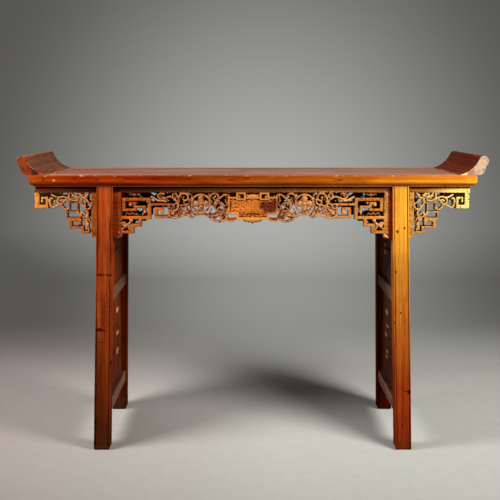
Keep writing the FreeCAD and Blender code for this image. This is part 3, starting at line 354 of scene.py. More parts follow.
# what the coats on all woods share; oval marks: colour, way of laying and depth
ovalMarks = {
    "plugs": ((206, 122, 70), "MIX", 0.05),
    "stain": ((140, 92, 84), "MULTIPLY", 0.05),
    "knots": ((70, 26, 8), "MIX", 0.05),
    "slivers": ((246, 170, 112), "MIX", 0.026),      # painted glints: pale marks on the low carved leaves inside the side panels
}
coats = {
    "goldShare": (0.0, 0.45),
    "flames": {"noise": (1.0, 2), "more": {"Distortion": 0.5}, "light": (0.56, 0.62), "dark": (0.48, 0.40)},
    "tongues": {"face": -0.194, "deep": 0.3, "inside": (1.0, 0.97), "rim": ((1.02, 0.99), (0.84, 0.98))},
    "flecks": {"noise": (75, 4), "shows": (0.45, 0.7, 0.0, 0.8), "tone": (160, 130, 116)},
    "groove": (70, 34, 20),
    "scuff": {"noise": (60, 4), "shows": (0.42, 0.60, 0.0, 0.85), "height": (0.09, 0.0),
              "tone": (66, 46, 26)},
    "facing": (0.75, 0.95),         # how squarely a face looks up or sideways
    "behind": (-0.01, 0.01),
    "onRight": (-0.1, 0.1),
    "facets": {"noise": (170, 2), "bright": (0.54, 0.68), "dim": (0.46, 0.34)},
    "bruise": {"noise": (85, 3), "shows": (0.60, 0.68), "tone": (220, 150, 106)},
    "bead": (104, 80, 80),
    "stileEdge": 0.001,
    "browSides": (-0.2, 0.25),
    "dustAndSheen": {"fibre": (0.35, 0.65, 0.95, 0.35), "height": (0.25, 0.45)},
    "bumpDeep": 0.0006,
}


def woodMaterial(name, look):
    wood, tree, shade, coords = startMaterial(name)
    spot = coords["Object"]
    x, y, z = parted(tree, spot)
    sideways = calc(tree, "ABSOLUTE", x)
    outward = calc(tree, "ABSOLUTE", y)
    across = scaled(tree, x, *look["paintedLight"])

    def both(first, second):
        return calc(tree, "MULTIPLY", first, second)

    def leftToRight(pair):
        return mixColours(tree, across, pair["left"], pair["right"])

    def lay(share, paint, kind="MIX"):          # one more coat on the colour so far
        return mixColours(tree, share, colour, paint, kind)

    # painted light: the wood turns paler and more golden towards the right end and higher up, and at the far
    # left end where given
    paintedLight = both(across, scaled(tree, z, *look["rise"]))
    if "leftGold" in look:
        paintedLight = calc(tree, "MAXIMUM", paintedLight, scaled(tree, x, *look["leftGold"], *coats["goldShare"]))
    turned = addNode(tree, "Mapping", {"Vector": spot, "Rotation": grainTurn[look["grain"]]})
    grain = addGroup(tree, woodGrain, {"Vector": turned.outputs[0], "Seed": look["seed"]})
    for label, dull, pale in zip(("Dark", "Middle", "Light"), look["tones"], look["paleTones"]):
        fill(tree, grain, {label: mixColours(tree, paintedLight, dull, pale)})
    colour = grain.outputs["Color"]
    if "figure" in look:        # flame figure of the sawn boards
        figure, flame, tongue = look["figure"], coats["flames"], coats["tongues"]
        stretch = addNode(tree, "Mapping", {"Vector": spot, "Scale": figure["scale"]})
        flames = noise(tree, stretch.outputs[0], *flame["noise"], **flame["more"])
        colour = lay(scaled(tree, flames, *flame["light"]), figure["light"], "SCREEN")
        colour = lay(scaled(tree, flames, *flame["dark"]), figure["dark"], "MULTIPLY")
        for place, height, length, high in figure["tongues"]:
            reach = ovalReach(tree, spot, (place, tongue["face"], height), (length, tongue["deep"], high))
            colour = lay(scaled(tree, reach, *tongue["inside"]), figure["tongue"], "MULTIPLY")
            rim = both(*(scaled(tree, reach, *side) for side in tongue["rim"]))
            colour = lay(rim, figure["rim"], "MULTIPLY")
    if "endGrain" in look:      # cut ends face front and back
        end = look["endGrain"]
        flecked = patchy(tree, spot, coats["flecks"])
        face = mixColours(tree, flecked, leftToRight(end), coats["flecks"]["tone"], "MULTIPLY")
        for toe in end["toes"]:             # the thin toe: an inner wedge darkened as painted shade of its recess, then a strip with a colour of its own
            face = mixColours(tree, scaled(tree, sideways, toe["from"], toe["to"]), face, leftToRight(toe))
        colour = lay(scaled(tree, outward, end["from"], end["to"]), face)
    if "ends" in look:          # both ends get a colour of their own; the golden right ends are painted light
        ends = look["ends"]
        colour = lay(scaled(tree, sideways, ends["from"], ends["to"]), leftToRight(ends))
    for mark, (paint, kind, deepness) in ovalMarks.items():
        if mark in look:
            colour = lay(ovalMask(tree, spot, look[mark], deepness), paint, kind)
    colour = lay(attributeOf(tree, "grooveDirt"), coats["groove"], "MULTIPLY")
    age = addGroup(tree, woodAge, {"Color": colour, "Vector": spot, "Edge": attributeOf(tree, "edgeWear"),
                                   "Grime": look["grime"], "Wear": look["wear"], "Rough": look["rough"]})
    colour = age.outputs["Color"]
    if "threads" in look:       # thin dark lines inside the beads, on the splayed legs
        thread = look["threads"]
        lean = calc(tree, "MULTIPLY_ADD", z, thread["lean"], sideways)
        off = calc(tree, "ABSOLUTE", calc(tree, "SUBTRACT", lean, thread["middle"]))
        gap = calc(tree, "ABSOLUTE", calc(tree, "SUBTRACT", off, thread["at"]))
        colour = lay(scaled(tree, gap, thread["half"], thread["full"]), thread["tone"], "MULTIPLY")
    if "feet" in look:          # painted shade: darker towards the feet, more on the left, and on faces turned sideways; scuffed dirt near the floor
        feet, scuff = look["feet"], coats["scuff"]
        colour = lay(scaled(tree, z, feet["from"], feet["to"]), leftToRight(feet), "MULTIPLY")
        scuffed = both(patchy(tree, spot, scuff), scaled(tree, z, *scuff["height"]))
        colour = lay(scuffed, scuff["tone"])
        flank = calc(tree, "ABSOLUTE", parted(tree, coords["Normal"])["X"])
        colour = lay(scaled(tree, flank, *coats["facing"]), leftToRight(feet["flank"]), "MULTIPLY")
    if "inner" in look:         # painted shade: faces set back or turned inwards are darker
        inner = look["inner"]
        deep = calc(tree, "MULTIPLY_ADD", z, inner["lean"], y) if "lean" in inner else outward
        inside, gloom = scaled(tree, deep, inner["from"], inner["to"]), inner["tone"]
        if "leftTone" in inner:         # only the back legs, all the way down on the right
            onRight = scaled(tree, x, *coats["onRight"])
            above = calc(tree, "MAXIMUM", scaled(tree, z, *inner["fade"]), onRight)
            inside = both(inside, both(scaled(tree, y, *coats["behind"]), above))
            gloom = mixColours(tree, onRight, inner["leftTone"], gloom)
        colour = lay(inside, gloom, "MULTIPLY")
    if "crest" in look:         # painted highlight: raised carving is lighter where it stands proud
        crest = look["crest"]
        colour = lay(scaled(tree, outward, crest["from"], crest["to"]), crest["tone"], "SCREEN")
    if "glint" in look:         # painted glints and shade, as if chip-carved facets catch or lose the light
        facets = noise(tree, spot, *coats["facets"]["noise"])
        colour = lay(scaled(tree, facets, *coats["facets"]["bright"]), look["glint"]["bright"], "SCREEN")
        colour = lay(scaled(tree, facets, *coats["facets"]["dim"]), look["glint"]["dim"], "MULTIPLY")
    if "chips" in look:         # small bruises along the upper edge
        bare = both(patchy(tree, spot, coats["bruise"]), scaled(tree, z, *look["chips"]))
        colour = lay(bare, coats["bruise"]["tone"])
    if "bead" in look:          # pale dust and a painted highlight on the fillet under the moulding
        low, full, stop, high = look["bead"]
        colour = lay(both(scaled(tree, z, low, full), scaled(tree, z, high, stop)), coats["bead"], "SCREEN")
    for hand, stile in look.get("stile", {}).items():       # the shaded strip against the leg
        outer = both(x, hand)
        strip = both(scaled(tree, outer, stile["from"], stile["full"]),
                     scaled(tree, outer, stile["to"] + coats["stileEdge"], stile["to"]))
        colour = lay(strip, stile["tone"], "MULTIPLY")
    if "brow" in look:          # a band past a given height is darker: painted shade under the board above, on the top rail simply darker
        brow = look["brow"]
        veil = mixColours(tree, scaled(tree, x, *coats["browSides"]), brow["left"], brow["right"])
        colour = lay(scaled(tree, z, brow["from"], brow["to"]), veil, "MULTIPLY")
    if "dustAndSheen" in look:          # pale dust and painted sheen on faces that look up
        dustAndSheen = look["dustAndSheen"]
        film = mixColours(tree, scaled(tree, z, *coats["dustAndSheen"]["height"]), dustAndSheen["low"], dustAndSheen["high"])
        settled = scaled(tree, grain.outputs["Fibre"], *coats["dustAndSheen"]["fibre"])
        upward = scaled(tree, parted(tree, coords["Normal"])["Z"], *coats["facing"])
        colour = lay(both(upward, settled), film)
    bump = addNode(tree, "Bump", {"Strength": look["bump"], "Distance": coats["bumpDeep"],
                                  "Height": grain.outputs["Fibre"]})
    fill(tree, shade, {"Base Color": colour, "Roughness": age.outputs["Roughness"], "Normal": bump.outputs[0],
                       "Coat Weight": look["coat"], "Coat Roughness": look["coatRough"],
                       "Specular IOR Level": look["gloss"]})
    return wood


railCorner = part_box("front_apron_rail")[0]
frontFace = round(-railCorner.y, 4)         # outer face of the openwork, from the middle
railBottom = round(railCorner.z, 4)         # underside of the apron rails
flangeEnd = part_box("left_flange")[1].y

# what a wood has where it gives no value of its own
plainWood = {
    "paintedLight": (0.1, 0.75), "rise": (0.25, 0.85), "grime": 0.35, "wear": 0.6, "rough": 0.0,
    "bump": 0.25, "coat": 0.02, "coatRough": 0.25, "gloss": 0.12,
}
# in metres: "from" and "to" are where a coat starts and is full, an oval mark is (across, deep, up,
# half its width, half its height), a tongue of the figure (across, up, half its length, half its height)
woods = {
    "topWood": {
        "grain": "x", "gloss": 0.0, "coat": 0.0, "tones": ((106, 28, 5), (159, 54, 10), (180, 68, 17)),
        "paleTones": ((188, 97, 18), (214, 139, 35), (225, 163, 54)), "seed": 0.0, "paintedLight": (-0.35, 0.75),
        "leftGold": (-0.58, -0.92),
        "brow": {"from": 0.861, "to": 0.87, "left": (220, 210, 214), "right": (216, 202, 220)},
        "dustAndSheen": {"low": (148, 101, 80), "high": (148, 101, 80)},
        "plugs": [(-0.62, -0.19, 0.862, 0.0042, 0.0055)], "chips": (0.8735, 0.8755),
        "bead": (0.841, 0.8416, 0.8442, 0.8446),
        "figure": {
            "scale": (4.4, 4.0, 60.0), "light": (30, 16, 2), "dark": (234, 214, 198),
            "tongue": (248, 236, 226), "rim": (200, 158, 136),
            "tongues": [
                (-0.569, 0.864, 0.09, 0.01), (-0.476, 0.867, 0.087, 0.0115), (-0.289, 0.867, 0.1, 0.0085),
                (-0.164, 0.868, 0.156, 0.01), (0.1, 0.8635, 0.181, 0.0105),
            ],
        },
    },
    "apronRailWood": {
        # dark tones: painted shade of the rail under the overhang of the top
        "grain": "x", "tones": ((38, 12, 4), (68, 26, 9), (88, 40, 16)),
        "paleTones": ((130, 70, 24), (190, 116, 46), (214, 150, 70)), "seed": 0.7, "paintedLight": (-0.4, 0.7),
        "ends": {"from": 0.545, "to": 0.62, "left": (120, 52, 20), "right": (244, 204, 110)},
        "inner": {"from": 0.168, "to": 0.156, "tone": (70, 44, 34)},
        "brow": {"from": 0.8335, "to": 0.8375, "left": (170, 110, 80), "right": (150, 84, 50)},
    },
    "flangeWood": {
        "grain": "y", "tones": ((92, 48, 30), (126, 78, 56), (148, 100, 78)), "gloss": 0.05, "rough": 0.3,
        "paleTones": ((74, 20, 4), (104, 33, 9), (122, 46, 14)), "seed": 1.3,
        "endGrain": {
            "from": flangeEnd - 0.003, "to": flangeEnd - 0.001,
            "left": (124, 52, 20), "right": (168, 144, 118),
            "toes": [
                {"from": 0.694, "to": 0.688, "left": (64, 26, 12), "right": (150, 104, 84)},
                {"from": 0.671, "to": 0.667, "left": (150, 62, 24), "right": (226, 184, 116)},
            ],
        },
    },
    "panelWood": {
        # pinkish grey tones: painted sheen, the backdrop reflected by the top at a low angle
        "grain": "x", "tones": ((98, 66, 57), (136, 102, 91), (154, 125, 114)),
        "coat": 0.06, "coatRough": 0.35, "rough": 0.2,
        "ends": {"from": 0.25, "to": 0.95, "left": (108, 52, 35), "right": (120, 70, 46)},
        "paleTones": ((114, 84, 71), (158, 124, 111), (176, 148, 137)), "seed": 2.1, "paintedLight": (-0.5, 0.2),
    },
    "legWood": {
        "grain": "z", "tones": ((126, 44, 16), (186, 78, 26), (206, 102, 40)),
        "paleTones": ((216, 135, 32), (243, 197, 58), (250, 217, 94)), "seed": 3.7, "rise": (0.2, 0.72),
        "bump": 0.2, "wear": 0.35, "gloss": 0.0, "coat": 0.0,
        "feet": {
            "from": 0.6, "to": 0.0, "left": (106, 118, 156), "right": (222, 172, 170),
            "flank": {"left": (246, 236, 228), "right": (206, 168, 190)},
        },
        "inner": {
            "from": 0.192, "to": 0.168, "lean": 0.034, "tone": (132, 120, 112), "leftTone": (170, 158, 146),
            "fade": (-0.1, 0.35),
        },
        "threads": {
            "lean": 0.02086, "middle": 0.4816, "at": 0.0205, "half": 0.0019, "full": 0.00076,
            "tone": (130, 92, 70),
        },
        "knots": [
            (-0.481, -0.19, 0.563, 0.016, 0.0056), (-0.452, -0.19, 0.562, 0.011, 0.0044),
            (-0.466, -0.19, 0.5625, 0.022, 0.0022), (-0.486, -0.19, 0.388, 0.016, 0.0076),
            (-0.472, -0.19, 0.384, 0.013, 0.003), (-0.45, -0.195, 0.28, 0.005, 0.006),
            (-0.48, -0.19, 0.348, 0.01, 0.0018), (0.455, -0.185, 0.7, 0.005, 0.0068),
            (0.477, -0.185, 0.711, 0.004, 0.005), (0.468, -0.19, 0.442, 0.003, 0.0048),
            (0.452, -0.19, 0.572, 0.003, 0.005), (0.45, -0.19, 0.412, 0.0024, 0.004),
            (0.477, -0.2, 0.08, 0.0034, 0.0052), (0.498, -0.2, 0.188, 0.008, 0.009),
            (0.489, -0.2, 0.19, 0.01, 0.0022),
        ],
    },
    "sideWood": {
        # full edge wear: worn edges, pale enough to stand in as painted glints on the pierced edges
        "grain": "z", "rough": 0.4, "gloss": 0.05, "wear": 1.0,
        "tones": ((80, 30, 8), (150, 64, 18), (180, 88, 30)),
        "paleTones": ((66, 36, 22), (120, 70, 46), (148, 96, 68)), "seed": 4.4, "paintedLight": (-0.1, 0.1),
        "rise": (-0.5, 0.0),
        "brow": {"from": 0.44, "to": 0.22, "left": (190, 178, 164), "right": (172, 152, 138)},
        "slivers": [
            (0.4609, 0.06, 0.621, 0.007, 0.006), (0.4609, 0.07, 0.593, 0.007, 0.011),
            (0.4682, 0.06, 0.384, 0.007, 0.013), (0.4682, 0.045, 0.339, 0.007, 0.007),
            (0.4682, 0.07, 0.304, 0.007, 0.009), (0.4682, 0.04, 0.252, 0.007, 0.007),
            (0.4682, 0.05, 0.231, 0.007, 0.008), (-0.4682, 0.06, 0.392, 0.007, 0.012),
            (-0.4682, 0.06, 0.312, 0.007, 0.01), (-0.4682, 0.05, 0.25, 0.007, 0.014),
        ],
    },
    "sideRailWood": {
        # pinkish tones: painted sheen on the rails
        "grain": "y", "rough": 0.25, "dustAndSheen": {"low": (58, 34, 22), "high": (128, 90, 74)},
        "tones": ((88, 56, 42), (134, 94, 76), (154, 116, 96)),
        "paleTones": ((74, 48, 36), (118, 82, 66), (140, 104, 86)), "seed": 5.2, "gloss": 0.02,
    },
    "scrollWood": {
        "grain": "x", "tones": ((122, 48, 14), (174, 82, 28), (200, 112, 46)),
        "paleTones": ((196, 124, 42), (234, 190, 98), (246, 216, 146)), "seed": 6.9, "paintedLight": (0.1, 0.6),
        "coat": 0.04, "glint": {"bright": (122, 96, 62), "dim": (116, 86, 70)},
        "brow": {
            "from": railBottom - 0.001, "to": railBottom + 0.001, "left": (182, 166, 180),
            "right": (255, 255, 255),
        },
        "inner": {"from": 0.1732, "to": 0.17, "tone": (46, 21, 12)},
        "crest": {"from": 0.1734, "to": 0.1746, "tone": (124, 98, 60)},
    },
    "fretWood": {
        "grain": "x", "tones": ((140, 58, 16), (188, 92, 28), (206, 120, 46)),
        "paleTones": ((166, 110, 36), (206, 166, 82), (224, 194, 120)), "seed": 7.7, "paintedLight": (0.15, 0.6),
        "leftGold": (-0.56, -0.66), "coat": 0.04, "glint": {"bright": (66, 50, 26), "dim": (172, 146, 128)},
        "ends": {"from": 0.6, "to": 0.72, "left": (232, 134, 36), "right": (214, 210, 120)},
        "stile": {
            -1: {"from": 0.4135, "full": 0.416, "to": 0.446, "tone": (206, 164, 134)},
            1: {"from": 0.4235, "full": 0.4285, "to": 0.446, "tone": (196, 110, 70)},
        },
        "brow": {
            "from": railBottom - 0.001, "to": railBottom + 0.001, "left": (112, 98, 104),
            "right": (204, 198, 226),
        },
        "inner": {"from": 0.1701, "to": 0.1677, "tone": (50, 24, 14)},
        "crest": {"from": 0.1718, "to": 0.1742, "tone": (112, 88, 54)},
    },
    "cartoucheWood": {
        "grain": "x", "tones": ((172, 82, 20), (220, 130, 44), (236, 164, 76)),
        "paleTones": ((206, 124, 30), (246, 190, 84), (255, 220, 130)), "seed": 8.3, "paintedLight": (0.1, 0.6),
        "coat": 0.04, "inner": {"from": 0.17, "to": 0.1662, "tone": (110, 62, 40)},
        "crest": {"from": 0.1705, "to": 0.1725, "tone": (100, 76, 44)},
        "stain": [
            (0.054, -0.17, 0.775, 0.034, 0.026), (0.037, -0.17, 0.782, 0.02, 0.018),
            (0.069, -0.17, 0.785, 0.018, 0.02),
        ],
    },
}
woodLooks = {name: woodMaterial(name, {**plainWood, **look}) for name, look in woods.items()}
print("woods mixed")


# plain members: merged copies of the solids with rounded edges
members = {
    "topWood": {
        "nodes": ["top_front_rail", "top_back_rail", "top_left_end_rail", "top_right_end_rail"], "round": 0.9,
        "slot": "frame_wood",
    },
    "apronRailWood": {
        "nodes": ["front_apron_rail", "back_apron_rail", "left_end_board", "right_end_board"], "round": 0.9,
        "slot": "apron_wood",
    },
    "flangeWood": {"nodes": ["left_flange", "right_flange"], "round": 1.2, "slot": "flange_wood"},
    "panelWood": {
        "nodes": ["top_panel", "left_batten", "middle_batten", "right_batten"], "round": 0.5,
        "slot": "panel_wood",
    },
    "legWood": {
        "nodes": ["front_left_leg", "front_right_leg", "back_left_leg", "back_right_leg"], "round": 0.55,
        "slot": "leg_wood",
    },
    "sideWood": {
        "nodes": [
            "left_side_upper_panel", "left_side_lower_panel", "right_side_upper_panel",
            "right_side_lower_panel",
        ],
        "round": 1.0, "slot": "side_wood",
    },
    "sideRailWood": {
        "nodes": [
            "left_side_top_rail", "left_side_mid_rail", "left_side_low_rail", "right_side_top_rail",
            "right_side_mid_rail", "right_side_low_rail",
        ],
        "round": 0.9, "slot": "side_wood",
    },
}
# the worn edge of the top: (height, inset) from the crest down to the fillet, in mm
topMoulding = {
    "half": (700.0, 194.0),
    "reach": 10.2,
    "mitreSlack": 1.5,
    "crossCuts": (60, 150, 250, 350, 450, 550, 620, 660),       # short faces shade evenly
    "profile": [(878, 0.8), (876, 0.25), (872, 0.0), (861, 0.0), (857, 0.4), (854, 1.4), (851, 3.3),
                (848.8, 5.6), (847, 8.4), (845.7, 11.2), (845, 13.0), (844.4, 12.2), (843.6, 11.6),
                (842.4, 11.6), (842, 12.2)],
}
# the lower ends of the legs are rubbed round: (height, inset) in mm
footRound = [(0, 5.0), (1.2, 2.8), (3, 1.2), (6, 0.0)]
# low leaves on the inner faces of the side panels; lobes: along, up, share of the length and of the height
sideLeaves = {
    "rise": 0.0028,
    "half": 0.021,
    "slack": 0.001,
    "lobes": [(0.0, 0.0, 0.62, 1.0), (-0.55, -0.25, 0.45, 0.6), (0.55, 0.3, 0.45, 0.6)],
}
# in metres and degrees
joinery = {"mergeWithin": 0.00002, "cutWithin": 0.00001, "flatWithin": 1, "sharpFrom": 35}


def sawThrough(bm, place, normal, dropOuter=False):
    bmesh.ops.bisect_plane(bm, geom=bm.verts[:] + bm.edges[:] + bm.faces[:], dist=joinery["cutWithin"],
                           plane_co=place, plane_no=normal, clear_outer=dropOuter)


def insetAt(height):
    steps = topMoulding["profile"]
    for (high, first), (low, second) in zip(steps, steps[1:]):
        if low <= height <= high:
            return second + (first - second) * (height - low) / (high - low)
    return steps[-1][1] if height < steps[-1][0] else steps[0][1]


def shapeMoulding(bm, longRail):
    half = topMoulding["half"]
    for height, _ in topMoulding["profile"][1:-1]:
        sawThrough(bm, (0, 0, height * mm), (0, 0, 1))
    outer, side = (1, 0) if longRail else (0, 1)
    cross = Vector((1, 0, 0) if longRail else (0, 1, 0))
    for place in topMoulding["crossCuts"]:
        if place < half[side]:
            for hand in (1, -1):
                sawThrough(bm, cross * hand * place * mm, cross)
    for vert in bm.verts:
        old = half[outer] - abs(vert.co[outer]) / mm
        if old < topMoulding["reach"]:
            step = insetAt(vert.co.z / mm) - old
            onMitre = abs(vert.co[side]) / mm > half[side] - old - topMoulding["mitreSlack"]
            for axis in (outer, side) if onMitre else (outer,):
                vert.co[axis] -= step * mm * math.copysign(1, vert.co[axis])


def shapeFoot(bm):
    for height, _ in footRound[1:]:
        sawThrough(bm, (0, 0, height * mm), (0, 0, 1))
    foot = [vert for vert in bm.verts if vert.co.z < footRound[-1][0] * mm + joinery["cutWithin"]]
    for axis in (0, 1):
        low, high = (pick(vert.co[axis] for vert in foot) for pick in (min, max))
        middle, half = (low + high) / 2, (high - low) / 2
        for vert in foot:
            inset = min(footRound, key=lambda step: abs(step[0] * mm - vert.co.z))[1] * mm
            vert.co[axis] -= (vert.co[axis] - middle) * inset / half


def carveSideLeaves(bm, node):
    low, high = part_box(node)
    half, slack = sideLeaves["half"], sideLeaves["slack"]
    for across, deep, up, _, tall in woods["sideWood"]["slivers"]:
        if low.x - slack < across < high.x + slack and low.z < up < high.z:
            for along, above, long, part in sideLeaves["lobes"]:
                place = Matrix.Translation((across, deep + along * half, up + above * tall))
                size = Matrix.Diagonal((sideLeaves["rise"], long * half, part * tall, 1))
                bmesh.ops.create_icosphere(bm, subdivisions=2, radius=1, matrix=place @ size)


def mergedCopy(node):
    bm = bmesh.new()
    bm.from_mesh(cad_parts[node].data)
    bmesh.ops.remove_doubles(bm, verts=bm.verts, dist=joinery["mergeWithin"])
    flat = math.radians(joinery["flatWithin"])
    bmesh.ops.dissolve_limit(bm, angle_limit=flat, verts=bm.verts, edges=bm.edges)
    return bm


def roundEdges(bm, width):
    worn = bm.loops.layers.float.new("edgeWear")
    dirty = bm.loops.layers.float.new("grooveDirt")
    least = math.radians(joinery["sharpFrom"])
    sharp = [edge for edge in bm.edges if len(edge.link_faces) == 2 and edge.calc_face_angle() > least]
    for layer, edges in ((dirty, [edge for edge in sharp if not edge.is_convex]),
                         (worn, [edge for edge in sharp if edge.is_convex])):
        live = [edge for edge in edges if edge.is_valid]
        result = bmesh.ops.bevel(bm, geom=live, offset=width * mm, segments=2, affect="EDGES",
                                 profile=0.5, material=-1, clamp_overlap=True)
        for face in result["faces"]:
            for loop in face.loops:
                loop[layer] = 1.0


def settle(piece, node):
    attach(piece, "root")
    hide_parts(node)


def buildMembers(plan):
    for wood, group in plan.items():
        for node in group["nodes"]:
            bm = mergedCopy(node)
            if wood == "topWood":
                shapeMoulding(bm, node in ("top_front_rail", "top_back_rail"))
            if wood == "legWood":
                shapeFoot(bm)
            roundEdges(bm, group["round"])
            if wood == "sideWood":
                carveSideLeaves(bm, node)
            for vert in bm.verts:       # nothing dips under the floor
                vert.co.z = max(vert.co.z, 0.0)
            member = meshPiece(node + "Wood", bm)
            member.modifiers.new("flatFaces", "WEIGHTED_NORMAL").keep_sharp = True
            member.data.materials.append(woodLooks[wood])
            settle(member, node)
    print("members dressed")


# carved openwork: a place is (distance from the middle, depth under the rail) in mm
# bars and vines: width, places; rings: place, radius, width; buds: place, radius;
# leaves: place, length, width, angle; petals: place, reach, length, width
scrollCarving = {
    "vines": [
        (3.4, [(78, -2.4), (150, -2.4), (225, -2.4), (301, -2.4)]),
        (5.4, [(278.7, 4), (291.6, 4), (298.2, 10.7), (291.9, 18.6), (279.3, 19.3), (270.8, 15.8),
            (259.8, 13.2), (247.2, 20.2), (235.5, 36.1), (237.4, 50.3), (248.8, 59.9), (258.8, 63)]),
        (6, [(321.2, 12.6), (311.8, 17), (299.2, 24.6), (283.4, 26.5), (271.4, 28.5)]),
        (5.4, [(233, 31.6), (233.7, 17), (226.7, 6.2), (217.3, 3.1), (206.9, 6.6), (204.1, 17), (211, 25),
            (218.5, 21.8), (217.9, 14.8)]),
        (5, [(204.1, 17), (200.3, 28.1), (206.3, 38), (215.7, 36.1), (217.3, 29.7)]),
        (5.2, [(133.8, 25), (132.3, 9.4), (121.2, 3.4), (110.2, 7.5), (109.6, 18.6), (118.1, 23.4),
            (124.1, 17)]),
        (6, [(74.6, 7.5), (88.2, 7.2), (99.2, 13.9), (110.2, 23.4), (119.7, 34.5), (123.1, 47.2)]),
        (4.6, [(109.3, 32.9), (99.5, 39.9), (105.8, 47.2), (110.2, 53.5), (100.8, 59.2)]),
        (4.6, [(82.5, 10.7), (85.7, 26.5), (80.6, 37), (89.1, 45.6), (83.8, 58.3), (86.6, 67.2)]),
        (5.6, [(266.1, 69.4), (259.8, 76.7), (248.8, 80.5), (233, 77.3), (214.1, 71), (201.5, 72.2),
            (189.6, 79.8)]),
        (5.6, [(189.6, 79.8), (179.5, 71.6), (162.2, 67.8), (144.9, 71), (129.1, 83), (116.5, 90),
            (100.8, 91.9), (88.2, 86.8), (82.5, 77.3), (86, 70), (91.3, 71.9)]),
        (3.6, [(85.7, 79.2), (77.8, 82.4), (64.6, 83.3), (50.4, 81.7)]),
        (4.4, [(197.8, 47.2), (193.3, 59.9), (183.9, 69.7)]),
        (4.4, [(129.1, 50.3), (134.1, 61.4), (140.8, 70.3)]),
        (4, [(194.6, 2.8), (191.5, 13.9), (195.2, 24.6), (190.8, 32.9)]),
        (4, [(136, 2.8), (139.2, 12.3), (135.4, 21.5)]),
        (4.4, [(227.4, 50.3), (233, 61.4), (223.6, 71.9)]),
        (4.4, [(209.1, 50.3), (202.8, 59.9), (207.8, 69.7)]),
        (4.4, [(250, 44), (242.5, 34.5), (236.2, 36.1)]),
        (4.4, [(91.3, 53.5), (92.9, 66.2), (103.9, 72.5), (116.5, 64.6), (126, 71)]),
    ],
    "rings": [
        (245.6, 10.1, 7.2, 4.6), (258.8, 44, 7.6, 4.6), (218.5, 50, 9.8, 4.8), (104.5, 45.6, 14.2, 5.4),
        (163.4, 34.6, 28.8, 6.2), (163.4, 34.6, 7.0, 3.4),
    ],
    "buds": [
        (279.3, 5, 3.4), (217.9, 14.5, 3.8), (124.1, 16.7, 3.8), (216.7, 29.1, 3.2), (245.6, 10.1, 2.4),
        (218.5, 49.4, 4.6), (91.3, 71.9, 3.4), (162.8, 34.8, 6.2), (119, 29.4, 3.2), (100.8, 58.3, 3.2),
        (258.8, 44, 2.4),
    ],
    "leaves": [
        (251.3, 66.5, 21, 8, 15), (237.7, 68.4, 17, 7, -20), (222.9, 62.7, 13, 6, 60),
        (210, 61.4, 13, 6, -60), (194.6, 64.6, 13, 6, 40), (229.9, 42.4, 13, 5.5, 70),
        (242.5, 25, 11, 5, -40), (114.6, 72.9, 19, 9, 15), (98.9, 79.2, 15, 7, -25),
        (130.4, 70.3, 14, 7, 55), (127.8, 34.5, 11, 5, 70), (81.2, 52.9, 12, 5, 80),
        (196.5, 41.1, 12, 5, 75), (288.4, 10.7, 9, 6, 30), (270.8, 22.7, 9, 5, -20),
        (226.1, 15.1, 9, 5, 60),
    ],
    "petals": [(163.4, 34.6, 14.5, 22, 20)],
}
# sunk leaves behind the lower scrolls
fillCarving = {
    "leaves": [
        (246, 57, 24, 11, -35), (233, 58, 18, 9, 35), (248, 69, 26, 10, 8), (206, 68, 18, 8, 5),
        (228, 68, 16, 8, -10), (103, 66, 24, 11, -35), (92, 78, 22, 10, 30), (118, 77, 24, 9, 20),
        (88, 60, 16, 8, 75), (133, 70, 16, 8, 40), (196, 58, 14, 7, 60), (242, 46, 16, 8, 60),
    ],
}
bracketCarving = {
    "bars": [
        (13.4, [(406.8, 55.1), (406.8, 21.8), (326.5, 21.8), (326.5, 79.8), (419.4, 79.8)]),
        (11.4, [(406.8, 55.1), (371.8, 55.1), (371.8, 34.2), (386.3, 34.2), (386.3, 39.9)]),
        (11, [(371.8, 45.6), (340.7, 45.6), (340.7, 61.4)]),
        (11.0, [(326.5, 37.7), (264.5, 37.7), (264.5, 78.3)]),
        (12.4, [(264.5, 77.4), (305.8, 77.4), (305.8, 51.6), (286.0, 51.6), (286.0, 62.4)]),
        (13, [(355.8, 79.8), (355.8, 103.6), (380, 103.6), (380, 125.5), (424.1, 125.5)]),
        (31, [(428.2, -2.6), (428.2, 129.6)]),
    ],
    "vines": [
        (3.2, [(300, -2.4), (360, -2.4), (408, -2.4), (419, 0.5), (422.4, 11), (422.4, 65), (422.4, 126)]),
        (5, [(413.7, 117.9), (401.4, 105.8), (389.5, 96.3), (379.1, 87.5)]),
        (4.4, [(415.3, 100.5), (406.8, 95.1), (399.5, 103.6), (404.6, 113.8)]),
        (4.4, [(386.9, 95.1), (393.2, 107.1), (386.9, 118.5)]),
        (5, [(430.4, 145.5), (422.5, 140.7), (414.7, 132.8)]),
    ],
    "buds": [(385.4, 39.2, 4.9), (286.2, 62.7, 5.4), (424.1, 128.1, 5.2), (341, 62.7, 4.8)],
    "leaves": [(407.7, 103.3, 11, 6, 50), (384.4, 89.7, 13, 6, -40)],
}
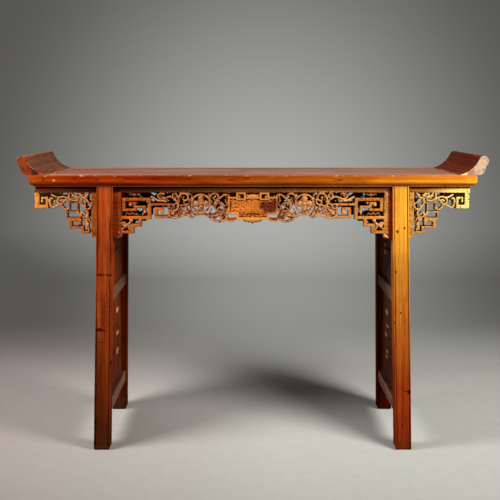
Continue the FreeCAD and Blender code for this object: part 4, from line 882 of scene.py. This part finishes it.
# small sprays sunk in the gaps of the bracket
sprayCarving = {
    "vines": [
        (3.8, [(391.7, 8.2), (384.7, 4), (378.4, 8.8), (372.8, 3.1), (366.8, 8.8), (360.2, 4), (353.3, 8.2)]),
        (3.4, [(372.8, -0.7), (372.8, 18.6)]),
        (3.6, [(386.3, 4), (387.6, -0.7)]),
        (3.6, [(359.2, 4), (358, -0.7)]),
        (3.8, [(402.1, 73.5), (395.8, 64.6), (387.9, 70.3), (380.7, 64), (373.7, 70.3), (365.9, 65.9),
            (361.1, 72.9)]),
    ],
    "buds": [(372.8, 7.5, 4.2), (395.8, 65.9, 3), (380.7, 65.2, 3)],
    "leaves": [(382.2, 8.8, 11, 4.4, 25), (363.3, 8.8, 11, 4.4, -25), (373.7, 69.7, 12, 4.4, 20)],
}
wingCarving = {
    "bars": [
        (18.0, [(675.0, -2.6), (675.0, 43.4)]),
        (15.2, [(675.0, 44.8), (646.4, 44.8)]),
        (11.0, [(644.6, 46.8), (644.6, 17.0)]),
        (10.0, [(644.6, 17.0), (659.8, 17.0)]),
        (8.4, [(660.0, 17.0), (660.0, 27.6)]),
        (20.4, [(500.6, -2.6), (500.6, 132.8)]),
        (10, [(575.9, 88.1), (542.5, 88.1)]),
        (13, [(574, 88.1), (574, 110.3)]),
        (11, [(575.3, 110.3), (536.5, 110.3), (536.5, 126.2), (501.3, 126.2)]),
        (12, [(545, 88.1), (545, 98.2)]),
        (8, [(576.5, 51.9), (576.5, 31.6), (550.7, 31.6), (550.7, 61.1), (584.1, 61.1), (584.1, 81.7),
            (543.8, 81.7), (543.8, 70.3)]),
    ],
    "vines": [
        (5, [(631.3, 5.3), (622.5, 11.6), (609.9, 15.8), (597.3, 13.2), (586.3, 15.1), (576.8, 22.7),
            (573.7, 29.7)]),
        (5.2, [(587.9, 14.5), (602, 14.5), (611.8, 23.4), (609.3, 33.2), (600.5, 36.1), (592.9, 29.7),
            (596.7, 22.7), (602.3, 25.9)]),
        (5.0, [(625.8, 20.6), (631.4, 17.4), (635.2, 22.4), (634.9, 33.4), (631.6, 43), (625.6, 46.5),
            (616.2, 42.7), (606.7, 38.9), (598.9, 42.4), (591.9, 51), (584.7, 54.1), (577.8, 49.7)]),
        (5.4, [(575.6, 0.5), (576.5, 13.9), (569.6, 23.1), (559.5, 26.5), (546.3, 23.4)]),
        (5, [(543.8, 0.5), (531.2, 17), (515.4, 0.5)]),
        (5, [(545.7, 34.2), (531.2, 17), (518.6, 29.7), (507.6, 36.1)]),
        (5, [(540, 30.4), (532.7, 43.4), (520.8, 53.2), (510.7, 46.5), (506.6, 32.9)]),
        (5, [(523.3, 53.8), (518.6, 65.6), (526.1, 77.9), (537.5, 76), (540.6, 67.8), (535, 62.4),
            (530.5, 67.8)]),
        (4.6, [(540.9, 72.2), (546.3, 69.7), (549.4, 63.3)]),
        (5, [(523, 77.3), (523.9, 90), (521.7, 102.7), (517, 117.3), (517, 123.3)]),
        (4.4, [(519.8, 75.7), (514.2, 90), (504.7, 101.4)]),
        (4.6, [(569, 0.5), (563.3, 10.7), (556.4, 14.5), (548.8, 11.3)]),
        (5, [(486.5, 149), (495.3, 142.6), (507.6, 130)]),
    ],
    "rings": [(549.4, 9.4, 6.4, 4.4)],
    "buds": [
        (602.3, 25.9, 3.8), (530.5, 67.8, 3.6), (531.2, 17, 4.4), (549.4, 64.6, 3.8), (531.2, 86.2, 4.2),
        (587.2, 23.1, 4.2), (556.4, 14.5, 3.4), (660.0, 28.2, 3.4), (506, 131.2, 4.4),
    ],
    "leaves": [
        (587.2, 22.7, 14, 6, 60), (520.8, 105.8, 28, 10, 85), (537.5, 9.4, 12, 6, 45),
        (524.2, 8.8, 12, 6, -45), (537.5, 24.6, 12, 6, -45), (523, 25.3, 12, 6, 45),
        (564.9, 9.4, 13, 7, 40), (620.9, 27.8, 11, 6, 70), (527.4, 41.1, 10, 6, -40),
    ],
}
# low relief on the sunk field of the cartouche, and its pendant
cartoucheCarving = {
    "vines": [
        (4.6, [(68, 58), (60, 50), (64, 38), (56, 29), (47, 33), (50, 42), (56, 42)]),
        (4.6, [(60, 50), (48, 54), (38, 48), (32, 56), (24, 61)]),
        (4.4, [(38, 48), (40, 38), (33, 31), (25, 34), (27, 42), (32, 42)]),
        (4.2, [(20, 58), (14, 52), (18, 44), (12, 36), (14, 27)]),
        (4.0, [(18, 44), (24, 48)]),
        (4.4, [(19, 7), (10, 14), (0, 16.5)]),
        (4.0, [(20, 17), (11, 21), (0, 22.5)]),
    ],
    "rings": [(0, 45, 9, 4.0)],
    "buds": [
        (56, 42, 3.4), (32, 42, 3.2), (24, 61, 3), (14, 27, 3), (0, 45, 4.6), (68, 58, 3), (63, 24, 3.6),
        (9, 60, 3),
    ],
    "leaves": [
        (66, 48, 11, 6, 70), (44, 59, 13, 6, 20), (52, 25, 11, 5, -30), (42, 28, 10, 5, 30),
        (20, 35, 11, 6, 60), (30, 52, 10, 5, -40), (8, 58, 10, 6, 60), (9, 33, 10, 6, -60),
        (66, 31, 10, 5, 60), (12, 64, 12, 5, 0), (0, 9, 26, 8, 0), (40, 72, 14, 7, 15),
        (27, 74, 13, 6, -20), (14, 75, 13, 6, 15), (0, 76, 12, 6, 0), (34, 66, 10, 5, -30),
        (22, 67, 10, 5, 30),
    ],
    "petals": [(0, 45, 11, 11, 8)],
}
pendantCarving = {
    "vines": [(6.0, [(27, 86), (12, 87.5), (0, 88)])],
    "buds": [(22, 90.5, 4.4), (11.5, 92, 4.8), (0, 94.5, 5.4), (27, 88, 3)],
    "leaves": [(17, 89, 9, 5, 60), (6, 91, 9, 5, 80)],
}
# a sunk ground of small leaves (length, width, angle) fills the back boards
groundCarving = {
    "scrolls": {"from": 92, "to": 300, "depths": (30, 41, 52, 63), "pitch": 13},
    "bracket": {"from": 268, "to": 414, "depths": (28, 40, 52, 64, 75), "pitch": 13},
    "leaf": (17, 8.5, 38),
    "sunk": 11.0,
}
cartoucheLeaves = {
    "rows": 7, "count": 20, "pitch": 7.2, "rowShare": 0.8, "top": 27.0, "leaf": (9.0, 4.2), "sunk": 3.4,
    "shuffle": (12.99, 78.23, 437.58), "stray": (3, 2),
}


def scatterLeaves(field):
    leaves = []
    perStep, perRow, spread = field["shuffle"]
    strayX, strayZ = field["stray"]
    for row in range(field["rows"]):
        for step in range(field["count"]):
            shake = math.sin(perStep * step + perRow * row) * spread
            shake -= math.floor(shake)
            across = (step - (field["count"] - 1) / 2 + 0.5 * (row % 2)) * field["pitch"]
            down = field["top"] + row * field["pitch"] * field["rowShare"]
            leaves.append((across + strayX * shake, down + strayZ * shake, *field["leaf"], 360 * shake))
    return {"leaves": leaves}


def leafGround(rows):
    length, width, angle = groundCarving["leaf"]
    leaves = []
    for row, down in enumerate(rows["depths"]):
        for index in range(int((rows["to"] - rows["from"]) / rows["pitch"]) + 1):
            place = rows["from"] + (index + 0.5 * (row % 2)) * rows["pitch"]
            if place < rows["to"]:
                leaves.append((place, down, length, width, angle if index % 2 else -angle))
    return {"leaves": leaves}


# each carving with the depth that it is sunk
scrollBoard = {"node": "scroll_apron", "wood": "scrollWood", "ground": "scrolls",
               "work": [(scrollCarving, 0.0), (fillCarving, 3.2)]}
bracketBoard = {"wood": "fretWood", "ground": "bracket", "work": [(bracketCarving, 0.0), (sprayCarving, 4.6)]}
wingBoard = {"wood": "fretWood", "work": [(wingCarving, 0.0)]}
carvedBoards = {
    "leftScrolls": {**scrollBoard, "hands": (-1,)},
    "rightScrolls": {**scrollBoard, "hands": (1,)},
    "cartouche": {"node": "scroll_apron", "keep": 79.6, "wood": "cartoucheWood", "voxel": 1.1,
                  "hands": (1, -1), "work": [(cartoucheCarving, 4.0), (pendantCarving, 9.0)],
                  "scatter": cartoucheLeaves},
    "leftBracket": {**bracketBoard, "node": "left_bracket", "hands": (-1,)},
    "rightBracket": {**bracketBoard, "node": "right_bracket", "hands": (1,)},
    # this wing reaches a little further out
    "leftWing": {**wingBoard, "node": "left_wing", "hands": (-1,), "stretch": 1.025, "stretchFrom": -0.5},
    "rightWing": {**wingBoard, "node": "right_wing", "hands": (1,)},
}
chisel = {
    "front": {"voxel": 1.3, "soften": 3},
    "back": {"voxel": 2.0, "soften": 2},
    "boardDepth": 19.0, "flatten": 0.9, "throughFrom": 0.3,
    "barDepth": 10, "barRound": 1.9, "barSwell": 0.98,
    "vineSwell": 1.13, "vineTip": 0.85, "vineFacets": 3, "vineSteps": 5,
    "budRise": 0.9, "leafRise": 0.42, "longLeaf": 18,
    "petalRise": 0.2, "lobeTurn": 19, "lobeReach": 1.22, "lobeSize": 0.5, "lobeRise": 0.17,
}


# straight fret bars with square corners
def carveBars(cut, work, hands):
    deep = chisel["barDepth"] * mm
    for hand in hands:
        for drawn, places in work.get("bars", ()):
            width = drawn * chisel["barSwell"] * mm
            for (across, down), (nextAcross, nextDown) in zip(places, places[1:]):
                run = Vector((hand * (nextAcross - across), 0, down - nextDown)) * mm
                middle = Vector((hand * (across + nextAcross) / 2, 0, -(down + nextDown) / 2)) * mm
                place = Matrix.Translation(middle + Vector((0, deep / 2, 0)))
                turn = Matrix.Rotation(math.atan2(-run.z, run.x), 4, "Y")
                size = Matrix.Diagonal((run.length + width, deep, width, 1))
                block = bmesh.ops.create_cube(cut, size=1, matrix=place @ turn @ size)
                face = {edge for vert in block["verts"] for edge in vert.link_edges
                        if all(end.co.y < deep / 2 for end in edge.verts)}
                bmesh.ops.bevel(cut, geom=list(face), offset=chisel["barRound"] * mm, segments=2,
                                affect="EDGES", profile=0.5, material=-1)


def addSpline(curve, knots, closed=False):
    spline = curve.splines.new("BEZIER")
    spline.use_cyclic_u = closed
    spline.bezier_points.add(len(knots) - 1)
    for knot, (across, up, radius) in zip(spline.bezier_points, knots):
        knot.co = (across * mm, 0, up * mm)
        knot.handle_left_type = knot.handle_right_type = "AUTO"
        knot.radius = radius


def carveVines(cut, work, hands):
    curve = bpy.data.curves.new("vines", "CURVE")
    curve.dimensions = "3D"
    curve.bevel_depth = mm
    curve.bevel_resolution = chisel["vineFacets"]
    curve.resolution_u = chisel["vineSteps"]
    curve.use_fill_caps = True
    for hand in hands:
        for width, places in work.get("vines", ()):
            thick = width / 2 * chisel["vineSwell"]
            ends = (0, len(places) - 1)
            addSpline(curve, [(hand * across, -down, thick * (chisel["vineTip"] if index in ends else 1.0))
                              for index, (across, down) in enumerate(places)])
        for across, down, radius, width in work.get("rings", ()):
            ring = [(hand * across + stepX * radius, stepZ * radius - down, width / 2)
                    for stepX, stepZ in ((1, 0), (0, 1), (-1, 0), (0, -1))]
            addSpline(curve, ring, closed=True)
    holder = bpy.data.objects.new("vines", curve)
    cut.from_mesh(bpy.data.meshes.new_from_object(holder))
    bpy.data.objects.remove(holder)


# leaves, buds and petals are domes swollen out of the board
def carveDome(cut, across, down, length, width, rise, angle):
    place = Matrix.Translation((across * mm, 0, -down * mm)) @ Matrix.Rotation(math.radians(angle), 4, "Y")
    size = Matrix.Diagonal((length / 2 * mm, rise * mm, width / 2 * mm, 1))
    finer = 1 if length < chisel["longLeaf"] else 2
    bmesh.ops.create_icosphere(cut, subdivisions=finer, radius=1, matrix=place @ size)


def carveDomes(cut, work, hands):
    for hand in hands:
        for across, down, radius in work.get("buds", ()):
            carveDome(cut, hand * across, down, 2 * radius, 2 * radius, chisel["budRise"] * radius, 0)
        for across, down, length, width, angle in work.get("leaves", ()):
            carveDome(cut, hand * across, down, length, width, chisel["leafRise"] * width, hand * angle)
        for across, down, reach, length, width in work.get("petals", ()):
            for turn in (0, 90, 180, 270):
                outX, outZ = math.cos(math.radians(turn)) * reach, math.sin(math.radians(turn)) * reach
                carveDome(cut, hand * (across + outX), down + outZ, length, width,
                          chisel["petalRise"] * width, turn)
                for lobe in (-chisel["lobeTurn"], chisel["lobeTurn"]):
                    side, far = math.radians(turn + lobe), reach * chisel["lobeReach"]
                    carveDome(cut, hand * (across + math.cos(side) * far), down + math.sin(side) * far,
                              length * chisel["lobeSize"], width * chisel["lobeSize"],
                              chisel["lobeRise"] * width, hand * (turn + lobe))


def carveInto(bm, work, sunk, hands, facing):
    cut = bmesh.new()
    carveVines(cut, work, hands)
    carveDomes(cut, work, hands)
    carveBars(cut, work, hands)
    behind = [vert for vert in cut.verts if vert.co.y > chisel["throughFrom"] * mm]
    bmesh.ops.scale(cut, vec=(1, chisel["flatten"], 1), verts=[vert for vert in cut.verts if vert.co.y < 0])
    for vert in behind:         # cut through to the back of the board
        vert.co.y = (chisel["boardDepth"] - sunk) * mm
    bmesh.ops.translate(cut, verts=cut.verts, vec=(0, sunk * mm - frontFace, railBottom))
    bmesh.ops.scale(cut, vec=(1, -facing, 1), verts=cut.verts)
    relief = bpy.data.meshes.new("relief")
    cut.to_mesh(relief)
    cut.free()
    bm.from_mesh(relief)
    bpy.data.meshes.remove(relief)


# middle part of the solid, closed again where it is cut
def middleOf(node, half):
    bm = mergedCopy(node)
    for hand in (1, -1):
        sawThrough(bm, (hand * half * mm, 0, 0), (hand, 0, 0), dropOuter=True)
    bmesh.ops.holes_fill(bm, edges=[edge for edge in bm.edges if edge.is_boundary], sides=0)
    return bm


def buildCarving(plan):
    for side, facing in (("front", -1), ("back", 1)):
        for name, board in plan.items():
            node = side + "_" + board["node"]
            bm = middleOf(node, board["keep"]) if "keep" in board else bmesh.new()
            for work, sunk in board["work"]:
                carveInto(bm, work, sunk, board["hands"], facing)
            if "scatter" in board:
                carveInto(bm, scatterLeaves(board["scatter"]), board["scatter"]["sunk"], (1,), facing)
            if side == "back" and "ground" in board:
                ground = leafGround(groundCarving[board["ground"]])
                carveInto(bm, ground, groundCarving["sunk"], board["hands"], facing)
            if "stretch" in board:
                pivot = Matrix.Translation((-board["stretchFrom"], 0, 0))
                bmesh.ops.scale(bm, vec=(board["stretch"], 1, 1), verts=bm.verts, space=pivot)
            bmesh.ops.triangulate(bm, faces=bm.faces)
            piece = meshPiece(side + name[0].upper() + name[1:], bm)
            melt = piece.modifiers.new("carve", "REMESH")
            melt.mode = "VOXEL"
            melt.voxel_size = board.get("voxel", chisel[side]["voxel"]) * mm
            melt.use_smooth_shade = True
            soft = piece.modifiers.new("soften", "SMOOTH")
            soft.iterations = chisel[side]["soften"]
            piece.data.materials.append(woodLooks[board["wood"]])
            settle(piece, node)
    print("openwork carved")


buildCamera(studio)
buildStudio(studio)
buildLamps(lamps)
buildMembers(members)
buildCarving(carvedBoards)
